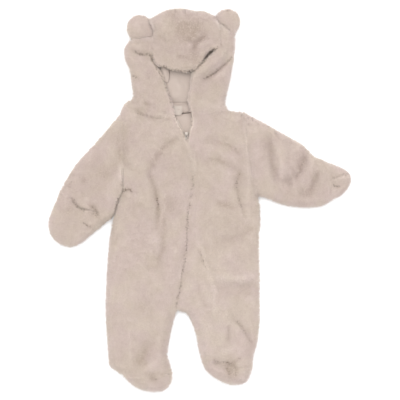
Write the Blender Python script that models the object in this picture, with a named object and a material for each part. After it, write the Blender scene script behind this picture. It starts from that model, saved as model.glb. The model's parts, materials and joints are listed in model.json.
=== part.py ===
"""Hooded baby coverall of teddy fleece with ears, mittens and feet, laid flat on its back.

The garment lies in the XY plane with its underside on z = 0. +Y runs up the body to the
crown, +X is to the right as seen from above. Lengths in the tables are millimetres.
Every cloth piece is a wall: it has an outer face, an inner face and closed edges.
"""

import math
from collections import namedtuple

import bmesh
import bpy
import numpy as np
from mathutils import Vector

MM = 0.001

# ---------------------------------------------------------------- driving sizes (mm)
BACK_WALL = 6.0          # fleece pressed flat under the garment
FRONT_WALL = 8.0         # fleece with its pile standing
SEAM_GAP = 0.25          # each piece stays this far from its seam line
NAPE_GAP = 0.8           # from the neck seam to the hood
FOOT_SEAM_GAP = 1.2      # the same on the feet, whose mouths are gathered
CURVED_SEAM_GAP = 0.5    # the same at seams whose two sides have different points
SEAM_EDGE_HEIGHT = 8.5   # height of the front cloth at the side seams
LEAST_FRONT = 2.0        # thinnest the front cloth gets, at its rounded sides
BODY_HEIGHT = 23.0       # top of the cloth over the body
ROUND_RUN = 19.0         # the sides round up over this width
FLOOR_INSET = 2.5        # the underside starts this far in from the side
LAYER_GAP = 0.3          # between cloth layers that lie on each other
LEAST_HOLLOW = 1.0       # the upper layer of a tube stays this far off its lower layer
TIP_WALL = 14.0          # from the hollow of a mitten or foot to its tip
TIP_HEIGHT = 5.0         # the tip's height over the floor
MITTEN_SLOT = 3.5        # hand opening across the top of the left, fold-over mitten
FOLD_EDGE_FADE = 14.0    # folds fade out over this width at the outline
CURVE_STEP = 2.0         # spacing of the points that stand for a smooth outline
SIDE_WALL = 9.0          # the wall where a tube or the hood turns over at its side
NARROW_WALL_SHARE = 0.3  # the same as the most it takes of a narrow tube's width
NARROW_INSET_SHARE = 0.2 # the floor inset as the most it takes of a narrow tube's width
INNER_CORNER = 1.0       # the lower inner corner lies this much further in
TIP_SHARE = 0.2          # how far a bag's hollow reaches on towards its tip, past its last ring

# ---------------------------------------------------------------- spacing of the grids
SHARP_DEGREES = 50       # edges that turn more than this are shaded sharp
CROWDING = 1.5           # exponent of the spacing where the cloth rounds over
EVEN_SHARE = 0.35        # how even the spacing across a tube is
TIP_CROWDING = 1.4       # exponent of a bag's rows, closer towards its tip
FOLD_STEPS = 8
FRONT_ROWS, FRONT_COLUMNS = 40, 12
BACK_ROWS = 30
BACK_COLUMNS = (0.0, 0.06, 0.2, 0.35, 0.5, 0.65, 0.8, 1.0)
SLEEVE_ROWS = 14
RING_COLUMNS = 10
MITTEN_LEFT_ROWS = 8
BAG_ROWS = 6             # of the right mitten and the feet
HOOD_ROWS = 14
HOOD_SIDE_COLUMNS, HOOD_BACK_COLUMNS = 8, 6
CROWN_COLUMNS = 9
CROWN_TURN_SHARES = (0.0, 0.25, 0.5, 1.0)     # along the ear seam
CROWN_BACK_SHARES = (0.3, 0.45, 0.6, 0.8, 1.0)
LINING_ROWS, LINING_COLUMNS = 6, 4
FACING_ROWS, FACING_COLUMNS = 5, 4
BAND_ROWS, BAND_COLUMNS = 3, 6
LABEL_ROWS, LABEL_COLUMNS = 4, 2
LEFT_LEG_START, RIGHT_LEG_START = 1, 2        # points of the inner legs that the back seam replaces

Row = namedtuple("Row", "x y")
Swell = namedtuple("Swell", "x y rise spread")
Fold = namedtuple("Fold", "x0 y0 xm ym x1 y1 depth width")


def rows(*pairs):
    """A table of outline points, one x and y a row."""
    return [Row(*pair) for pair in pairs]


# ---------------------------------------------------------------- outline tables (mm)
CROWN_TOP = rows((-99, 352), (-83, 362), (-63, 372), (-32, 375), (-7, 369), (5, 371), (22, 364), (32, 357))
EAR_SEAM_RIGHT = rows((32, 357), (38, 346), (54, 337), (69, 321))
EAR_SEAM_LEFT = rows((-99, 352), (-91, 336), (-88, 321))
EAR_SEAM_LEFT_LOW = rows((-133, 315), (-114, 315), (-96, 318), (-88, 321))
HOOD_SIDE_LEFT = rows((-133, 315), (-144, 301), (-147, 289), (-144, 274), (-135, 255),
                      (-132, 233), (-128, 204), (-130, 195))
HOOD_SIDE_RIGHT = rows((69, 321), (70, 304), (67, 273), (61, 238), (54, 207), (50, 189), (54, 177))
FLAP_EDGE_LEFT = rows((-88, 321), (-93, 303), (-95, 284), (-94, 272), (-86, 258), (-71, 238),
                      (-63, 214), (-55, 194), (-49, 168))
NAPE_LEFT = rows((-130, 195), (-120, 188), (-100, 178), (-70, 172))
NAPE_MIDDLE = rows((-70, 172), (-30, 172), (10, 172))
NAPE_RIGHT = rows((10, 172), (32, 173), (54, 177))
FLAP_EDGE_RIGHT = rows((32, 357), (38, 332), (40, 312), (38, 294), (25, 282), (17, 272), (5, 263),
                       (-8, 252), (-14, 241), (-15, 221), (-20, 206), (-20, 193), (-16, 173))
HOOD_BACK_SEAM_LEFT = rows((-88, 321), (-70, 172))
HOOD_BACK_SEAM_RIGHT = rows((32, 357), (37, 334), (31, 290), (10, 172))
CROWN_SEAM_LEFT = rows((-99, 352), (-91, 336), (-88, 321), (-93, 303), (-94, 284))
CROWN_SEAM_RIGHT = rows((32, 357), (38, 332), (40, 312), (38, 297))
BRIM = rows((-94, 284), (-88, 272), (-78, 262), (-67, 260), (-55, 254), (-41, 249), (-25, 246),
            (-12, 249), (-2, 260), (13, 287), (26, 296), (38, 297))
NECK_SEAM_LEFT = rows((-130, 195), (-121, 188), (-111, 174), (-97, 164), (-80, 160), (-61, 163),
                      (-49, 168))
NECK_SEAM_RIGHT = rows((-16, 173), (8, 168), (31, 169), (54, 177))
SHOULDER_LEFT = rows((-130, 195), (-144, 189), (-151, 177), (-153, 167))
SHOULDER_RIGHT = rows((54, 177), (61, 172), (88, 170))
ARMHOLE_LEFT = rows((-153, 167), (-151, 117), (-149, 67), (-147, 17))
ARMHOLE_RIGHT = rows((88, 170), (91, 138), (95, 105), (100, 73), (106, 40), (112, 10))
SIDE_LEFT = rows((-147, 17), (-156, -3), (-164, -30), (-170, -56), (-174, -79), (-178, -124),
                 (-181, -190), (-181, -235), (-177, -290), (-175, -326))
SIDE_RIGHT = rows((112, 10), (117, -9), (119, -40), (116, -79), (117, -146), (117, -234),
                  (113, -279), (105, -306), (103, -330))
HEEL_LEFT = rows((-175, -326), (-161, -337), (-147, -345))
FOOT_SEAM_LEFT = rows((-147, -345), (-117, -347), (-88, -346), (-55, -340))
FOOT_SEAM_RIGHT = rows((8, -318), (30, -319), (72, -325), (103, -330))
INNER_LEG_LEFT = rows((-46, -217), (-54, -246), (-61, -279), (-65, -308), (-57, -329), (-55, -340))
INNER_LEG_RIGHT = rows((-46, -217), (-27, -218), (-16, -232), (-5, -261), (2, -297), (8, -318))
V_EDGE_LEFT = rows((-49, 168), (-39, 146), (-31, 132), (-29, 122), (-24, 113))
V_EDGE_RIGHT = rows((-16, 173), (-13, 156), (-14, 146), (-18, 133), (-20, 122), (-24, 113))
ZIP_LINE = rows((-24, 113), (-18, 97), (-10, 73), (-8, 48), (-13, 19), (-19, -11), (-23, -40),
                (-23, -79), (-27, -118), (-32, -138), (-36, -171), (-43, -197), (-46, -217))
LINING_TOP = rows((-76, 310), (10, 314))
LINING_FOOT = rows((-62, 191), (-8, 191))
BAND_TOP = rows((-62, 190), (-36, 188), (-8, 190))
BAND_FOOT = rows((-60, 172), (-34, 169), (-6, 173))
FACING_TOP = rows((-60, 171), (-34, 168), (-6, 172))
FACING_FOOT = rows((-38, 108), (-10, 108))
LABEL_TOP = rows((-52, 183), (-33, 184))
LABEL_FOOT = rows((-50, 166), (-32, 165))
BACK_SEAM = rows((-30, 172), (-26, 60), (-26, -60), (-33, -160), (-38, -218))
SLEEVE_LEFT_TOP = rows((-153, 167), (-165, 154), (-203, 110), (-240, 70), (-260, 38), (-272, 15))
SLEEVE_LEFT_UNDER = rows((-149, 17), (-159, -2), (-170, -31), (-186, -45))
WRIST_LEFT = rows((-272, 15), (-250, 0), (-233, -16), (-213, -18), (-198, -27), (-186, -45))
MITTEN_LEFT_OUTER = rows((-272, 15), (-286, -18), (-296, -45), (-293, -64), (-280, -82), (-258, -92))
MITTEN_LEFT_INNER = rows((-186, -45), (-209, -66), (-228, -82), (-244, -91), (-258, -92))
SLEEVE_RIGHT_TOP = rows((88, 170), (112, 158), (140, 143), (176, 122), (196, 111), (211, 100),
                        (222, 86), (232, 79), (240, 79), (251, 71))
SLEEVE_RIGHT_UNDER = rows((112, 10), (134, 3), (156, -7), (180, -13), (202, -15), (237, -14), (251, -6))
WRIST_RIGHT = rows((251, 71), (255, 34), (251, -6))
MITTEN_RIGHT_OUTER = rows((251, 71), (266, 68), (280, 61), (292, 54), (298, 43))
MITTEN_RIGHT_INNER = rows((251, -6), (268, 3), (278, 8), (290, 20), (297, 34), (298, 43))
FOOT_LEFT_OUTER = rows((-147, -345), (-136, -358), (-121, -368), (-98, -375), (-80, -375))
FOOT_LEFT_INNER = rows((-55, -340), (-53, -347), (-58, -363), (-68, -373), (-80, -375))
FOOT_RIGHT_INNER = rows((8, -318), (14, -335), (39, -352), (61, -361), (78, -361))
FOOT_RIGHT_OUTER = rows((103, -330), (101, -338), (97, -348), (91, -357), (78, -361))

# ---------------------------------------------------------------- relief tables (mm)
SWELLS = [
    Swell(-30, 305, 17.0, 62.0),     # folded-down crown
    Swell(-28, 262, 4.0, 34.0),      # brim
    Swell(-112, 262, 3.0, 26.0),     # left cheek of the hood
    Swell(46, 245, 4.0, 26.0),       # right cheek of the hood
    Swell(-105, -352, 13.0, 34.0),   # left toes
    Swell(70, -338, 15.0, 34.0),     # right toes
    Swell(-250, -45, 5.0, 40.0),     # left mitten
    Swell(-80, 70, 4.0, 60.0),       # left chest
    Swell(40, 60, 4.0, 60.0),        # right chest
    Swell(45, -150, 4.0, 55.0),      # right thigh
    Swell(-120, -180, 4.0, 60.0),    # left thigh
]
FOLDS = [
    # left hood flap and the crease that the crown makes over it
    Fold(-128, 288, -112, 283, -96, 280, -10.0, 6.0),
    Fold(-124, 168, -100, 162, -78, 158, -6.0, 6.0),
    Fold(-104, 189, -98, 187, -92, 184, -4.0, 6.0),
    # band on the right of the opening: roll, then crease
    Fold(48, 286, 30, 262, 4, 246, 7.0, 9.0),
    Fold(61, 291, 44, 252, 10, 240, -10.0, 7.0),
    # crown dimples
    Fold(12, 322, -8, 312, -8, 296, -7.0, 8.0),
    Fold(-42, 279, -34, 276, -24, 275, -5.0, 6.0),
    Fold(-80, 320, -72, 316, -66, 314, -4.0, 7.0),
    # closing line of the zip: ridge above, groove below
    Fold(-27, 120, -12, 90, -8, 54, 2.5, 5.0),
    Fold(-11, 44, -14, 20, -17, -6, -5.0, 6.0),
    Fold(-18, -6, -23, -50, -24, -90, -5.0, 6.0),
    Fold(-24, -90, -31, -140, -46, -217, -5.0, 6.0),
    Fold(-10, -2, -2, -30, 6, -60, 3.0, 9.0),
    # left chest and the long fold down the left front
    Fold(-47, 117, -84, 104, -96, 56, -5.0, 9.0),
    Fold(-96, 56, -80, 20, -84, -58, -7.0, 7.0),
    Fold(-66, -66, -68, -96, -94, -132, -5.0, 9.0),
    Fold(-44, -10, -44, -30, -54, -44, -4.0, 12.0),
    Fold(-112, -196, -104, -210, -98, -218, -4.0, 14.0),
    # right chest arcs and side fold
    Fold(18, 118, 62, 118, 80, 90, -5.0, 9.0),
    Fold(16, 73, 40, 82, 82, 54, -5.0, 9.0),
    Fold(80, 48, 68, 22, 88, -13, -6.0, 7.0),
    Fold(98, -56, 70, -76, 42, -87, -5.0, 10.0),
    Fold(6, -101, 14, -130, 26, -144, -4.0, 6.0),
    # right leg: ridge over a step, then the shin folds
    Fold(36, -144, 62, -154, 106, -150, 5.0, 8.0),
    Fold(36, -163, 70, -166, 104, -172, -5.0, 9.0),
    Fold(10, -167, 18, -190, 22, -203, 3.0, 7.0),
    Fold(28, -212, 32, -230, 35, -248, -4.0, 7.0),
    Fold(6, -179, 10, -200, 12, -222, -3.0, 7.0),
    Fold(70, -237, 96, -250, 105, -290, -5.0, 6.0),
    Fold(57, -255, 61, -266, 61, -279, -3.0, 7.0),
    Fold(56, -314, 72, -300, 92, -306, -6.0, 6.0),
    Fold(30, -319, 54, -326, 73, -326, -9.0, 7.0),
    Fold(62, -326, 60, -336, 56, -345, -7.0, 9.0),
    # left leg
    Fold(-96, -279, -105, -308, -128, -328, -5.0, 12.0),
    Fold(-96, -330, -88, -322, -82, -312, 4.0, 8.0),
    Fold(-90, -342, -88, -346, -86, -350, -5.0, 9.0),
    # left sleeve
    Fold(-194, 92, -190, 84, -186, 76, -4.0, 16.0),
    Fold(-226, 42, -220, 40, -214, 38, -3.0, 14.0),
    Fold(-150, 82, -146, 72, -134, 64, -4.0, 8.0),
    Fold(-149, 22, -140, 16, -130, 18, -6.0, 8.0),
    # mouth of the left mitten
    Fold(-250, 2, -232, -22, -220, -20, -6.0, 7.0),
    Fold(-214, -10, -198, -16, -204, -36, -6.0, 6.0),
    Fold(-236, -37, -224, -48, -208, -56, -4.0, 6.0),
    # right sleeve valleys, with a ridge beside the first
    Fold(137, 127, 138, 98, 151, 42, -7.0, 10.0),
    Fold(161, 112, 160, 84, 160, 50, 3.0, 9.0),
    Fold(207, 85, 202, 46, 169, 32, -10.0, 9.0),
    Fold(236, 51, 230, 28, 203, 17, -8.0, 9.0),
    # right mitten tip
    Fold(264, 28, 276, 30, 294, 30, -6.0, 5.0),
    Fold(262, 42, 276, 46, 295, 49, -4.0, 5.0),
]

# ---------------------------------------------------------------- zip, label and pads (mm)
TAPE_REACH = 9.0          # tape runs this far under each front edge
TAPE_SHOWS = 2.2          # tape stands this far proud of the edge at the V
TAPE_THICK = 1.0
TAPE_APART = 0.3          # from the fleece's edge to the tape's, where the two tapes meet
V_FOOT = 122.0            # the two edges of the V meet just below this
V_FADE = 12.0             # the tape comes out from under the fleece over this length
CROTCH_Y = -205.0         # the zip ends here
JERSEY_THICK = 1.4
BAND_THICK = 3.2         # the folded neck band at its middle
BAND_EDGE_THICK = 0.8
LABEL_THICK = 0.6
SLIDER_X = -24.6
SLIDER_Y = 128.0
SLIDER_LOW = 13.2         # underside of the lower plate
SLIDER_PLATE = 1.3
SLIDER_GAP = 2.6          # between the plates, for the teeth
SLIDER_TOP = SLIDER_LOW + 2 * SLIDER_PLATE + SLIDER_GAP
STRAP_OPEN = 2.0          # under the strap that holds the pull tab
STRAP_THICK = 1.2
SLIDER_CUTS_X = (-3.3, -0.8, 0.8, 3.3)
SLIDER_CUTS_Y = (-4.0, -3.2, -2.2, 1.0, 2.0, 4.0)
SLIDER_CUTS_Z = (SLIDER_LOW, SLIDER_LOW + SLIDER_PLATE, SLIDER_TOP - SLIDER_PLATE, SLIDER_TOP,
                 SLIDER_TOP + STRAP_OPEN, SLIDER_TOP + STRAP_OPEN + STRAP_THICK)
PIVOT = (SLIDER_X, SLIDER_Y - 0.6, SLIDER_TOP + STRAP_OPEN / 2)
PULL_THICK = 1.2
PullPoint = namedtuple("PullPoint", "rim_x rim_y eye_x eye_y")
PULL_OUTLINE = [
    PullPoint(-2.5, 0.5, -1.5, -0.5),
    PullPoint(-2.5, -3.0, -1.5, -3.0),
    PullPoint(-2.5, -9.5, -1.5, -4.4),
    PullPoint(-1.2, -11.0, -0.7, -5.0),
    PullPoint(1.2, -11.0, 0.7, -5.0),
    PullPoint(2.5, -9.5, 1.5, -4.4),
    PullPoint(2.5, -3.0, 1.5, -3.0),
    PullPoint(2.5, 0.5, 1.5, -0.5),
]
EAR_THICK = 17.0
EAR_CLEARANCE = 1.3       # from the seam line to the ear
EAR_CIRCLE_LEFT = (-117.0, 338.0, 24.0)
EAR_CIRCLE_RIGHT = (56.0, 350.0, 24.0)
EAR_ARC_LEFT = (42.0, 228.0)      # degrees of the circle that the ear's free edge follows
EAR_ARC_RIGHT = (-48.0, 156.0)
EAR_STEPS = 14
EAR_FLOOR_SHARE = 0.92            # the flat underside's share of the ear's outline
EarRing = namedtuple("EarRing", "share rise")
EAR_RINGS = [EarRing(1.0, 0.32), EarRing(0.93, 0.62), EarRing(0.78, 0.86), EarRing(0.5, 0.97)]


# ---------------------------------------------------------------- curves in the plane
def smooth(table):
    """Dense points of a Catmull-Rom curve through a table's rows."""
    knots = np.array([(row.x, row.y) for row in table], float)
    before = 2 * knots[0] - knots[1]
    after = 2 * knots[-1] - knots[-2]
    knots = np.vstack([before, knots, after])
    dense = []
    for a, b, c, d in zip(knots, knots[1:], knots[2:], knots[3:]):
        count = max(2, int(math.ceil(np.linalg.norm(c - b) / CURVE_STEP)))
        for t in np.arange(count) / count:
            dense.append(0.5 * (2 * b + (c - a) * t + (2 * a - 5 * b + 4 * c - d) * t * t
                                + (3 * b - a - 3 * c + d) * t ** 3))
    dense.append(knots[-2])
    return np.array(dense)


def joined(*curves):
    """One polyline of curves that meet end to end."""
    parts = [curves[0]]
    for curve in curves[1:]:
        parts.append(curve[1:])
    return np.vstack(parts)


def length_of(curve):
    """Length of a polyline."""
    return float(np.linalg.norm(np.diff(curve, axis=0), axis=1).sum())


def spaced(curve, params):
    """Points of a polyline at the given shares of its length."""
    steps = np.linalg.norm(np.diff(curve, axis=0), axis=1)
    along = np.concatenate([[0.0], np.cumsum(steps)])
    wanted = np.asarray(params) * along[-1]
    return np.column_stack([np.interp(wanted, along, curve[:, k]) for k in (0, 1)])


def evenly(count):
    """Shares of a length, evenly spaced."""
    return np.linspace(0.0, 1.0, count + 1)


def closer_at_start(count):
    """Shares of a length that crowd towards its start, where the cloth rounds over."""
    return evenly(count) ** CROWDING


def closer_at_end(count):
    """Shares of a length that crowd towards its end."""
    return 1.0 - closer_at_start(count)[::-1]


def closer_at_both(count):
    """Shares of a length that crowd towards both ends."""
    even = evenly(count)
    return EVEN_SHARE * even + (1.0 - EVEN_SHARE) * 0.5 * (1.0 - np.cos(math.pi * even))


def patch(top, bottom, left, right, down, across):
    """Points of the surface stretched between four curves, a row of points for each share in down."""
    top_row = spaced(top, across)
    bottom_row = spaced(bottom, across)
    left_side = spaced(left, down)
    right_side = spaced(right, down)
    v = np.asarray(down)[:, None, None]
    u = np.asarray(across)[None, :, None]
    ruled_down = (1 - v) * top_row[None] + v * bottom_row[None]
    ruled_across = (1 - u) * left_side[:, None] + u * right_side[:, None]
    corners = ((1 - u) * (1 - v) * top_row[0] + u * (1 - v) * top_row[-1]
               + (1 - u) * v * bottom_row[0] + u * v * bottom_row[-1])
    return ruled_down + ruled_across - corners


def drawn_in(grid, top=0.0, bottom=0.0, left=0.0, right=0.0):
    """The grid with its border points moved in by the given widths."""
    out = grid.copy()
    for edge, next_edge, width in (((0, slice(None)), (1, slice(None)), top),
                                   ((-1, slice(None)), (-2, slice(None)), bottom),
                                   ((slice(None), 0), (slice(None), 1), left),
                                   ((slice(None), -1), (slice(None), -2), right)):
        inward = grid[next_edge] - grid[edge]
        length = np.linalg.norm(inward, axis=1, keepdims=True)
        out[edge] = out[edge] + inward / length * width
    return out


# ---------------------------------------------------------------- height of the cloth
SILHOUETTE = joined(
    smooth(CROWN_TOP), smooth(EAR_SEAM_RIGHT), smooth(HOOD_SIDE_RIGHT), smooth(SHOULDER_RIGHT),
    smooth(SLEEVE_RIGHT_TOP), smooth(MITTEN_RIGHT_OUTER), smooth(MITTEN_RIGHT_INNER)[::-1],
    smooth(SLEEVE_RIGHT_UNDER)[::-1], smooth(SIDE_RIGHT), smooth(FOOT_RIGHT_OUTER),
    smooth(FOOT_RIGHT_INNER)[::-1], smooth(INNER_LEG_RIGHT)[::-1], smooth(INNER_LEG_LEFT),
    smooth(FOOT_LEFT_INNER), smooth(FOOT_LEFT_OUTER)[::-1], smooth(HEEL_LEFT)[::-1],
    smooth(SIDE_LEFT)[::-1], smooth(SLEEVE_LEFT_UNDER), smooth(MITTEN_LEFT_INNER),
    smooth(MITTEN_LEFT_OUTER)[::-1], smooth(SLEEVE_LEFT_TOP)[::-1], smooth(SHOULDER_LEFT)[::-1],
    smooth(HOOD_SIDE_LEFT)[::-1], smooth(EAR_SEAM_LEFT_LOW), smooth(EAR_SEAM_LEFT)[::-1])


def distance_to(points, line):
    """Distance of each point to a polyline."""
    flat = points.reshape(-1, 2)
    best = np.full(len(flat), np.inf)
    for start, end in zip(line[:-1], line[1:]):
        run = end - start
        span = max(float(run @ run), 1e-9)
        share = np.clip((flat - start) @ run / span, 0.0, 1.0)
        gap = np.linalg.norm(flat - (start + share[:, None] * run), axis=1)
        best = np.minimum(best, gap)
    return best.reshape(points.shape[:-1])


def fold_line(fold):
    """Points along a fold, a curve that starts and ends at its ends and leans to its middle."""
    start, middle, end = np.array([[fold.x0, fold.y0], [fold.xm, fold.ym], [fold.x1, fold.y1]], float)
    share = evenly(FOLD_STEPS)[:, None]
    return (1 - share) ** 2 * start + 2 * share * (1 - share) * middle + share ** 2 * end


def cloth_height(points):
    """Height of the front cloth over the floor: rounded sides, a full middle, troughs and ridges."""
    inset = distance_to(points, SILHOUETTE)
    full = np.full(inset.shape, BODY_HEIGHT)
    for swell in SWELLS:
        reach = (points[..., 0] - swell.x) ** 2 + (points[..., 1] - swell.y) ** 2
        full = full + swell.rise * np.exp(-reach / swell.spread ** 2)
    lowered = np.zeros(inset.shape)
    lifted = np.zeros(inset.shape)
    for fold in FOLDS:
        away = distance_to(points, fold_line(fold))
        change = fold.depth * np.exp(-(away / fold.width) ** 2)
        lowered = np.minimum(lowered, change)
        lifted = np.maximum(lifted, change)
    full = full + (lowered + lifted) * np.clip(inset / FOLD_EDGE_FADE, 0.0, 1.0)
    rounding = np.sqrt(1.0 - (1.0 - np.clip(inset / ROUND_RUN, 0.0, 1.0)) ** 2)
    return SEAM_EDGE_HEIGHT + (full - SEAM_EDGE_HEIGHT) * rounding


def raised(grid, height):
    """The grid's points at a height, a number or one for each point."""
    heights = np.broadcast_to(height, grid.shape[:-1])
    return np.dstack([grid, heights])


# ---------------------------------------------------------------- solids
def finish(name, mesh_builder, colour, roughness, metallic=0.0):
    """Make an object with its own material from a bmesh."""
    bmesh.ops.recalc_face_normals(mesh_builder, faces=mesh_builder.faces)
    mesh = bpy.data.meshes.new(name)
    mesh_builder.to_mesh(mesh)
    mesh_builder.free()
    mesh.shade_smooth()
    mesh.set_sharp_from_angle(angle=math.radians(SHARP_DEGREES))
    piece = bpy.data.objects.new(name, mesh)
    bpy.context.collection.objects.link(piece)
    material = bpy.data.materials.new(name + "_finish")
    material.use_nodes = True
    shader = material.node_tree.nodes["Principled BSDF"]
    shader.inputs["Base Color"].default_value = (*colour, 1.0)
    shader.inputs["Roughness"].default_value = roughness
    shader.inputs["Metallic"].default_value = metallic
    mesh.materials.append(material)
    return piece


def add_points(mesh_builder, grid):
    """A vertex for each point of a grid given in millimetres."""
    return [[mesh_builder.verts.new(Vector(point) * MM) for point in line] for line in grid]


def skin(mesh_builder, lines, around=False):
    """Quads between each row of vertices and the next."""
    for one, two in zip(lines, lines[1:]):
        count = len(one) if around else len(one) - 1
        for k in range(count):
            after = (k + 1) % len(one)
            mesh_builder.faces.new((one[k], one[after], two[after], two[k]))


def wall(outer, inner):
    """A cloth wall between two grids of the same size, closed along all four edges."""
    mesh_builder = bmesh.new()
    out = add_points(mesh_builder, outer)
    back = add_points(mesh_builder, inner)
    skin(mesh_builder, out)
    skin(mesh_builder, back)
    skin(mesh_builder, [[line[0] for line in out], [line[0] for line in back]])
    skin(mesh_builder, [[line[-1] for line in out], [line[-1] for line in back]])
    skin(mesh_builder, [out[0], back[0]])
    skin(mesh_builder, [out[-1], back[-1]])
    return mesh_builder


def tube(outer, inner, tip=None):
    """A cloth wall through closed rings, open at its ends, or closed at the last one by a tip."""
    mesh_builder = bmesh.new()
    out = add_points(mesh_builder, outer)
    back = add_points(mesh_builder, inner)
    skin(mesh_builder, out, around=True)
    skin(mesh_builder, back, around=True)
    skin(mesh_builder, [out[0], back[0]], around=True)
    if tip is None:
        skin(mesh_builder, [out[-1], back[-1]], around=True)
        return mesh_builder
    for ring, point in ((out[-1], tip[0]), (back[-1], tip[1])):
        end = mesh_builder.verts.new(Vector(point) * MM)
        for k in range(len(ring)):
            mesh_builder.faces.new((ring[k], ring[(k + 1) % len(ring)], end))
    return mesh_builder


# ---------------------------------------------------------------- finishes
FLEECE = (0.62, 0.52, 0.46)
JERSEY = (0.66, 0.58, 0.52)
TAPE = (0.72, 0.66, 0.60)
LABEL = (0.83, 0.80, 0.76)
METAL = (0.74, 0.73, 0.71)
CLOTH_ROUGHNESS = 0.95
LABEL_ROUGHNESS = 0.6
METAL_ROUGHNESS = 0.35


def front_wall(grid):
    """Outer and inner grids of the front cloth over a plan of points."""
    top = cloth_height(grid)
    low = np.maximum(top - FRONT_WALL, BACK_WALL + LAYER_GAP)
    top = np.maximum(top, low + LEAST_FRONT)
    return raised(grid, top), raised(grid, low)


def make_zip_tape(name, underside):
    """Tape under one front edge, made from that cloth's underside, which starts at the edge.

    It shows along the V, where it stands a little proud of the fleece, and ends above the crotch.
    """
    edge = underside[:, 0, :2]
    inward = underside[:, 1, :2] - edge
    inward = inward / np.linalg.norm(inward, axis=1, keepdims=True)
    lowest = underside[:, :2, 2].min(axis=1)
    lowest = np.minimum(lowest, np.minimum(np.roll(lowest, 1), np.roll(lowest, -1)))
    top = lowest - LAYER_GAP
    shows = np.clip((edge[:, 1] - V_FOOT) / V_FADE, 0.0, 1.0)[:, None] * TAPE_SHOWS
    kept = (top - TAPE_THICK > BACK_WALL + 2 * LAYER_GAP + JERSEY_THICK) & (edge[:, 1] > CROTCH_Y)
    plan = np.stack([edge + inward * TAPE_REACH, edge + inward * (TAPE_APART - shows)], axis=1)[kept]
    top = top[kept][:, None]
    finish(name, wall(raised(plan, top), raised(plan, top - TAPE_THICK)), TAPE, CLOTH_ROUGHNESS)


def make_fronts():
    """The two front halves, each from the neck or shoulder to the ankle."""
    down = evenly(FRONT_ROWS)
    left_side = joined(smooth(SHOULDER_LEFT), smooth(ARMHOLE_LEFT), smooth(SIDE_LEFT))
    left_bottom = joined(smooth(HEEL_LEFT), smooth(FOOT_SEAM_LEFT))
    left_middle = joined(smooth(V_EDGE_LEFT), smooth(ZIP_LINE), smooth(INNER_LEG_LEFT))
    grid = patch(smooth(NECK_SEAM_LEFT), left_bottom, left_side, left_middle, down,
                 closer_at_start(FRONT_COLUMNS))
    grid = drawn_in(grid, NAPE_GAP, CURVED_SEAM_GAP, CURVED_SEAM_GAP, SEAM_GAP)
    left = front_wall(grid)
    finish("front_left", wall(*left), FLEECE, CLOTH_ROUGHNESS)
    right_middle = joined(smooth(V_EDGE_RIGHT), smooth(ZIP_LINE), smooth(INNER_LEG_RIGHT))
    right_top = joined(smooth(NECK_SEAM_RIGHT), smooth(SHOULDER_RIGHT))
    right_side = joined(smooth(ARMHOLE_RIGHT), smooth(SIDE_RIGHT))
    grid = patch(right_top, smooth(FOOT_SEAM_RIGHT), right_middle, right_side, down,
                 closer_at_end(FRONT_COLUMNS))
    grid = drawn_in(grid, NAPE_GAP, CURVED_SEAM_GAP, SEAM_GAP, CURVED_SEAM_GAP)
    right = front_wall(grid)
    finish("front_right", wall(*right), FLEECE, CLOTH_ROUGHNESS)
    make_zip_tape("zip_tape_left", left[1][:, ::-1])
    make_zip_tape("zip_tape_right", right[1])


def make_backs():
    """The two back halves, pressed flat on the floor."""
    down = evenly(BACK_ROWS)
    nape = smooth(NAPE_MIDDLE)
    half = len(nape) // 2
    left_side = joined(smooth(SHOULDER_LEFT), smooth(ARMHOLE_LEFT), smooth(SIDE_LEFT))
    left_bottom = joined(smooth(HEEL_LEFT), smooth(FOOT_SEAM_LEFT))
    left_middle = joined(smooth(BACK_SEAM), smooth(INNER_LEG_LEFT)[LEFT_LEG_START:])
    left_top = joined(smooth(NAPE_LEFT), nape[:half + 1])
    grid = patch(left_top, left_bottom, left_side, left_middle, down, BACK_COLUMNS)
    gaps = (CURVED_SEAM_GAP, CURVED_SEAM_GAP, CURVED_SEAM_GAP, SEAM_GAP)
    back_panel("back_left", drawn_in(grid, *gaps))
    right_middle = joined(smooth(BACK_SEAM), smooth(INNER_LEG_RIGHT)[RIGHT_LEG_START:])
    right_top = joined(nape[half:], smooth(NAPE_RIGHT), smooth(SHOULDER_RIGHT))
    right_side = joined(smooth(ARMHOLE_RIGHT), smooth(SIDE_RIGHT))
    flipped = [1.0 - share for share in reversed(BACK_COLUMNS)]
    grid = patch(right_top, smooth(FOOT_SEAM_RIGHT), right_middle, right_side, down, flipped)
    gaps = (CURVED_SEAM_GAP, CURVED_SEAM_GAP, SEAM_GAP, CURVED_SEAM_GAP)
    back_panel("back_right", drawn_in(grid, *gaps))


def back_panel(name, grid):
    """A pressed-flat wall whose underside starts a little in from its sides."""
    under = drawn_in(grid, 0.0, 0.0, FLOOR_INSET, FLOOR_INSET)
    finish(name, wall(raised(grid, BACK_WALL), raised(under, 0.0)), FLEECE, CLOTH_ROUGHNESS)


def lowest_around(heights):
    """Each grid height replaced by the least of it and its neighbours, so a lining clears every fold."""
    padded = np.pad(heights, 1, mode="edge")
    rows_count, columns = heights.shape
    shifts = [padded[a:a + rows_count, b:b + columns] for a in range(3) for b in range(3)]
    return np.minimum.reduce(shifts)


def ceiling_under(top, plan):
    """Height of a wall's inner face below an uneven top."""
    hollow = np.minimum(lowest_around(top), cloth_height(plan))
    return np.maximum(hollow - FRONT_WALL, BACK_WALL + LEAST_HOLLOW)


def leaning_in(plan):
    """Steps from the sides of a plan's rows towards their middle, up to 1 long, and the rows' widths."""
    across = plan[:, -1] - plan[:, 0]
    width = np.linalg.norm(across, axis=1)[:, None, None]
    lean = 1.0 - 2.0 * evenly(plan.shape[1] - 1)[None, :, None]
    return across[:, None, :] / width * lean, width


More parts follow.
